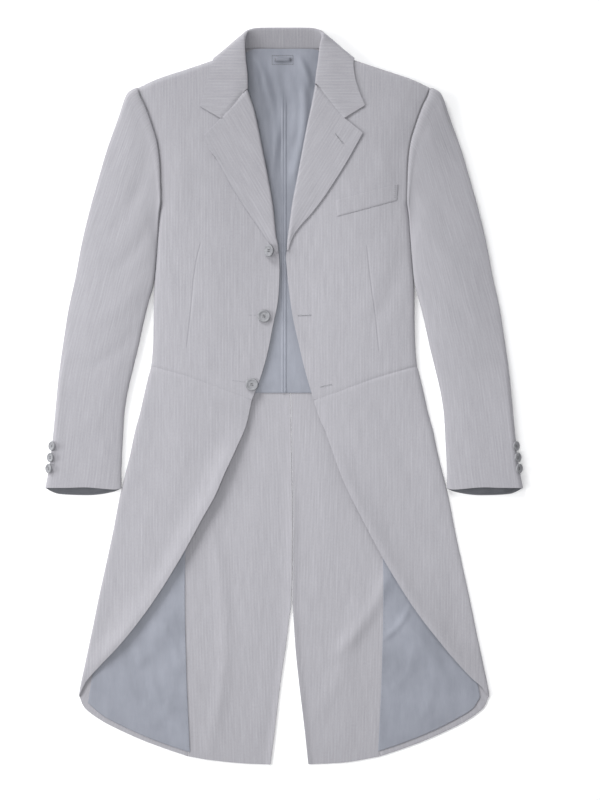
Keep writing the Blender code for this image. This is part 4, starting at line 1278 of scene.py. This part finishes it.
horns = {
    "frontSize": 20.0,
    "frontPlaces": ((22.4, 228.4, 46.0), (31.0, 127.1, 3.0), (49.6, 20.9, 4.0)),  # out, y, tilt
    "cuffSize": 15.0,
    "cuffPlaces": ((-74.4, 1.8), (-92.2, 1.6), (-109.3, 1.4)),  # y, middle in from the sleeve's edge
    "cuffHeight": 13.2,
    "cuffTilt": 48.0,
    "profile": (  # share of the radius, height
        (0.0, 0.25), (0.78, 0.0), (0.95, 0.7), (1.0, 1.7), (0.97, 2.6), (0.9, 3.2), (0.82, 3.3),
        (0.72, 2.95), (0.6, 2.35), (0.4, 2.05), (0.0, 2.0),
    ),
    "holeOut": 0.2,  # shares of the radius
    "holeSize": 0.105,
    "drillMiddle": 2.2,
    "drillLong": 3.0,
    "shank": 1.1,  # radii of the shank and of each thread, and the threads' spacing
    "thread": 0.24,
    "threadStep": 0.42,
    "shankInto": 0.4,  # how far a front button's shank goes into the cloth
    "cuffShank": 2.6,  # length
}


def buttonMesh(diameter):
    # turned blank, drilled four times
    radius = diameter / 2.0
    blank = bmesh.new()
    line = [blank.verts.new((share * radius * mm, 0.0, height * mm)) for share, height in horns["profile"]]
    edges = [blank.edges.new(pair) for pair in zip(line, line[1:])]
    bmesh.ops.spin(
        blank, geom=line + edges, cent=(0, 0, 0), axis=(0, 0, 1), dvec=(0, 0, 0), angle=2 * math.pi, steps=40,
        use_merge=True,
    )
    bmesh.ops.remove_doubles(blank, verts=blank.verts, dist=1e-6)
    bmesh.ops.recalc_face_normals(blank, faces=blank.faces)
    drill = bmesh.new()
    holeOut, holeRadius = radius * horns["holeOut"], radius * horns["holeSize"] * mm
    for k in range(4):
        angle = math.pi / 2.0 * k + math.pi / 4.0
        middle = (holeOut * math.cos(angle) * mm, holeOut * math.sin(angle) * mm, horns["drillMiddle"] * mm)
        bmesh.ops.create_cone(
            drill, cap_ends=True, segments=12, radius1=holeRadius, radius2=holeRadius,
            depth=horns["drillLong"] * mm, matrix=Matrix.Translation(middle),
        )
    blankPiece = addObject("buttonBlank", meshOf("buttonBlank", blank))
    drillPiece = addObject("buttonDrill", meshOf("buttonDrill", drill))
    cut = blankPiece.modifiers.new("holes", "BOOLEAN")
    cut.operation = "DIFFERENCE"
    cut.solver = "EXACT"
    cut.object = drillPiece
    bpy.context.view_layer.update()
    drilled = bpy.data.meshes.new_from_object(blankPiece.evaluated_get(bpy.context.evaluated_depsgraph_get()))
    bpy.data.objects.remove(blankPiece)
    bpy.data.objects.remove(drillPiece)
    return drilled


def putAt(mesh, middle, turn):
    mesh.transform(Matrix.Translation((Vector(middle) - Vector((0.0, coat["middleY"], 0.0))) * mm) @ turn)
    return mesh


def placeButton(name, drilled, middle, turn):
    mesh = drilled.copy()
    mesh.name = name
    piece = addPiece(name, putAt(mesh, middle, turn), (horn,))
    mesh.set_sharp_from_angle(angle=math.radians(38))
    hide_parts(name)


def threadCross(name, middle, turn, size, deep):
    # the thread that shows through the four holes, three times round, and its shank down to the cloth
    cross = bmesh.new()
    sweepThread(cross, ((0.0, 0.0, 0.5), (0.0, 0.0, -deep)), horns["shank"], sides=12)
    reach = size / 2.0 * horns["holeOut"] * math.sqrt(0.5)
    for row in (-1, 1):
        for k in (-1, 0, 1):
            arch = []
            for share in np.linspace(0.0, 1.0, 7):
                rise = 1.6 + 0.85 * abs(math.sin(math.pi * share)) ** 0.6
                arch.append(((2.0 * share - 1.0) * reach, row * reach + k * horns["threadStep"], rise))
            sweepThread(cross, arch, horns["thread"])
    addPiece(name, putAt(meshOf(name, cross), middle, turn), (darkThread,))


def sweepThread(mesh, line, radius, sides=6):
    # a round thread along a line of points in millimetres, closed at both ends
    points = [Vector(point) * mm for point in line]
    ring = bmesh.ops.create_circle(mesh, cap_ends=False, segments=sides, radius=radius * mm)["verts"]
    way = (points[1] - points[0]).normalized()
    turn = way.to_track_quat("Z", "Y").to_matrix().to_4x4()
    bmesh.ops.transform(mesh, matrix=Matrix.Translation(points[0]) @ turn, verts=ring)
    edges = list({edge for vert in ring for edge in vert.link_edges})
    bmesh.ops.contextual_create(mesh, geom=edges)
    for here, there in zip(points, points[1:]):
        made = bmesh.ops.extrude_edge_only(mesh, edges=edges)["geom"]
        ring = [item for item in made if isinstance(item, bmesh.types.BMVert)]
        edges = [item for item in made if isinstance(item, bmesh.types.BMEdge)]
        bmesh.ops.translate(mesh, vec=there - here, verts=ring)
    bmesh.ops.contextual_create(mesh, geom=edges)
    bmesh.ops.recalc_face_normals(mesh, faces=mesh.faces)


frontButton = buttonMesh(horns["frontSize"])
cuffButton = buttonMesh(horns["cuffSize"])
for number, (out, y, tilt) in enumerate(horns["frontPlaces"], 1):
    lean = math.radians(tilt)
    above = 0.5 + 0.7 * math.sin(lean) * horns["frontSize"] / 2.0
    middle = (-out, y, float(coatTop(-out, y)) + above)
    turn = Matrix.Rotation(-lean, 4, "Y")
    placeButton(f"button_front_{number}", frontButton, middle, turn)
    turn = turn @ Matrix.Rotation(0.3 * number, 4, "Z")
    deep = above / math.cos(lean) + horns["shankInto"]
    threadCross(f"thread_front_{number}", middle, turn, horns["frontSize"], deep)
edgeYs = [row[1] for row in reversed(sleeveOuter)]
edgeOuts = [row[0] for row in reversed(sleeveOuter)]
for side in (-1, 1):
    turn = Matrix.Rotation(side * math.radians(horns["cuffTilt"]), 4, "Y")
    for number, (y, inset) in enumerate(horns["cuffPlaces"], 1):
        out = float(np.interp(y, edgeYs, edgeOuts)) - inset
        middle = (side * out, y, horns["cuffHeight"])
        placeButton(f"{wearer(side, 'button_cuff')}_{number}", cuffButton, middle, turn)
        name = f"{wearer(side, 'thread_cuff')}_{number}"
        threadCross(name, middle, turn, horns["cuffSize"], horns["cuffShank"])
print("morning coat: buttons sewn on")


trees = {}


def topFace(name):
    # puts a point on a piece's top face, in millimetres
    if name not in trees:
        trees[name] = BVHTree.FromObject(pieces[name], bpy.context.evaluated_depsgraph_get())
    tree = trees[name]

    def onFace(x, y, rise):
        y = y - coat["middleY"]
        found = tree.ray_cast(Vector((x, y, 100.0)) * mm, Vector((0.0, 0.0, -1.0)))[0]
        return x, y, found.z / mm + rise

    return onFace


def stitches(name, on, rows, long, thread, gap=0.0, radius=0.2):
    # stitches along straight rows, each dipping into the cloth at its ends
    onFace, work = topFace(on), bmesh.new()
    for start, end in rows:
        start, end = np.array(start, float), np.array(end, float)
        whole = np.linalg.norm(end - start)
        count = max(1, round((whole + gap) / (long + gap)))
        for k in range(count):
            first = k * (whole + gap) / count
            line = []
            for share, rise in ((0.0, -0.25), (0.2, 0.12), (0.8, 0.12), (1.0, -0.25)):
                x, y = start + (end - start) * min(1.0, (first + share * long) / whole)
                line.append(onFace(x, y, rise))
            sweepThread(work, line, radius)
    addPiece(name, meshOf(name, work), (thread,))


buttonholes = {
    "step": 0.8,
    "thread": 0.27,
    "stitch": ((0.2, -0.1), (0.5, 0.24), (1.1, 0.2), (1.5, -0.2)),  # out from the slit, height
}


def buttonhole(name, on, start, end):
    # close stitches on both sides of the slit
    onFace, work = topFace(on), bmesh.new()
    start, end = np.array(start, float), np.array(end, float)
    whole = np.linalg.norm(end - start)
    along = (end - start) / whole
    count = int(whole / buttonholes["step"])
    for way in (-1, 1):
        aside = way * np.array((-along[1], along[0]))
        for k in range(count + 1):
            line = []
            for reach, rise in buttonholes["stitch"]:
                x, y = start + along * whole * k / count + aside * reach
                line.append(onFace(x, y, rise))
            sweepThread(work, line, buttonholes["thread"], sides=5)
    addPiece(name, meshOf(name, work), (paleThread,))
    # a dark thread along the slit: painted shade in the cut
    stitches(name + "_slit_shade", on, ((start, end),), whole, midThread)


buttonhole("buttonhole_lapel", "lapel_left", (79.0, 409.2), (91.4, 393.7))
buttonhole("buttonhole_front_2", "forepart_left", (21.7, 127.6), (41.9, 128.2))
buttonhole("buttonhole_front_3", "forepart_left", (55.8, 17.0), (74.4, 20.9))
for number, row in ((2, ((-54.0, 128.6), (-42.5, 128.4))), (3, ((-80.6, 27.1), (-60.5, 24.9)))):
    stitches(f"tack_front_{number}", "forepart_right", (row,), 4.4, midThread, gap=1.2, radius=0.24)
left, right, low, top = -18.5, 14.0, 517.4, 531.6
frameRows = (
    ((left, top), (right, top)), ((left, low), (right, low)),
    ((left, low), (left, top)), ((right, low), (right, top)),
)
stitches("loop_frame", "lining_back", frameRows, 2.2, darkThread, gap=0.7, radius=0.4)
loopRows = [((x, 523.4), (x, 527.4)) for x in (-14.0, -13.0, 9.4, 10.4)]
stitches("loop_tack", "hanger_loop", loopRows, 4.0, darkThread, radius=0.3)
weltRows = [((170.4, 310.5 + 3.0 * k), (173.4, 311.3 + 3.0 * k)) for k in range(7)]
stitches("welt_tack", "breast_welt", weltRows, 3.0, midThread, radius=0.22)
# the felling of the skirt linings' inner edges, where they show
pleatYs, pleatOuts = (299.0, 430.0, 549.0), (154.0, 151.5, 146.0)
for side in (-1, 1):
    name = wearer(side, "lining_skirt")
    fellRows = []
    for y in np.arange(-300.0, -545.0, -9.6):
        out = float(np.interp(-y, pleatYs, pleatOuts)) + 1.8
        fellRows.append(((side * out, y), (side * (out + 1.6), y - 1.6)))
    stitches(f"{name}_fell", name, fellRows, 2.2, midThread)
print("morning coat: sewing done")

# from straight above, in metres; "far" is the distance to the coat's middle height
view = {"middle": (0.0248, -0.0057), "tall": 1.24, "far": 6.0, "middleHeight": 0.012}
camera = bpy.data.cameras.new("camera")
camera.sensor_width = 36.0
camera.lens = camera.sensor_width * view["far"] / view["tall"]
camera.clip_end = 50.0
cameraObject = addObject("camera", camera)
cameraObject.location = (*view["middle"], view["far"] + view["middleHeight"])
bpy.context.scene.camera = cameraObject

floorGrid = bmesh.new()
bmesh.ops.create_grid(floorGrid, x_segments=4, y_segments=4, size=6.0)
floorMesh = meshOf("floor", floorGrid)
floorFinish = Finish("palePaper", 0.9, (0.9, 0.9, 0.9))
floorFinish.set("Base Color", (0.98, 0.98, 0.98, 1.0))
floorFinish.set("Specular IOR Level", 0.0)
floorMesh.materials.append(floorFinish.material)
floorObject = addObject("floor", floorMesh)
floorObject.location.z = -0.0003  # just below the cloth that lies on it

# kind, place, what it points at, size, power
lamps = {
    "key": ("AREA", (-3.0, 6.0, 4.2), (0.0, 0.0, 0.0), 2.6, 380.0),
    "side": ("AREA", (-7.0, 0.6, 3.6), (0.0, 0.0, 0.0), 3.6, 400.0),
    "middle": ("SPOT", (-0.5, -0.1, 6.4), (-0.13, -0.1, 0.0), 0.35, 700.0),
}
for name, (kind, place, towards, size, power) in lamps.items():
    lamp = bpy.data.lights.new(name, kind)
    lamp.energy = power
    if kind == "AREA":
        lamp.size = size
    else:
        lamp.shadow_soft_size = size
        lamp.spot_size = math.radians(16.0)
        lamp.spot_blend = 1.0
    lampObject = addObject(name, lamp)
    lampObject.location = place
    lampObject.rotation_euler = (Vector(towards) - Vector(place)).to_track_quat("-Z", "Y").to_euler()

world = bpy.data.worlds.new("studio")
world.use_nodes = True
sky = world.node_tree.nodes["Background"].inputs
sky["Color"].default_value = (0.97, 0.98, 1.0, 1.0)
sky["Strength"].default_value = 0.5
bpy.context.scene.world = world
bpy.context.scene.view_settings.view_transform = "Standard"
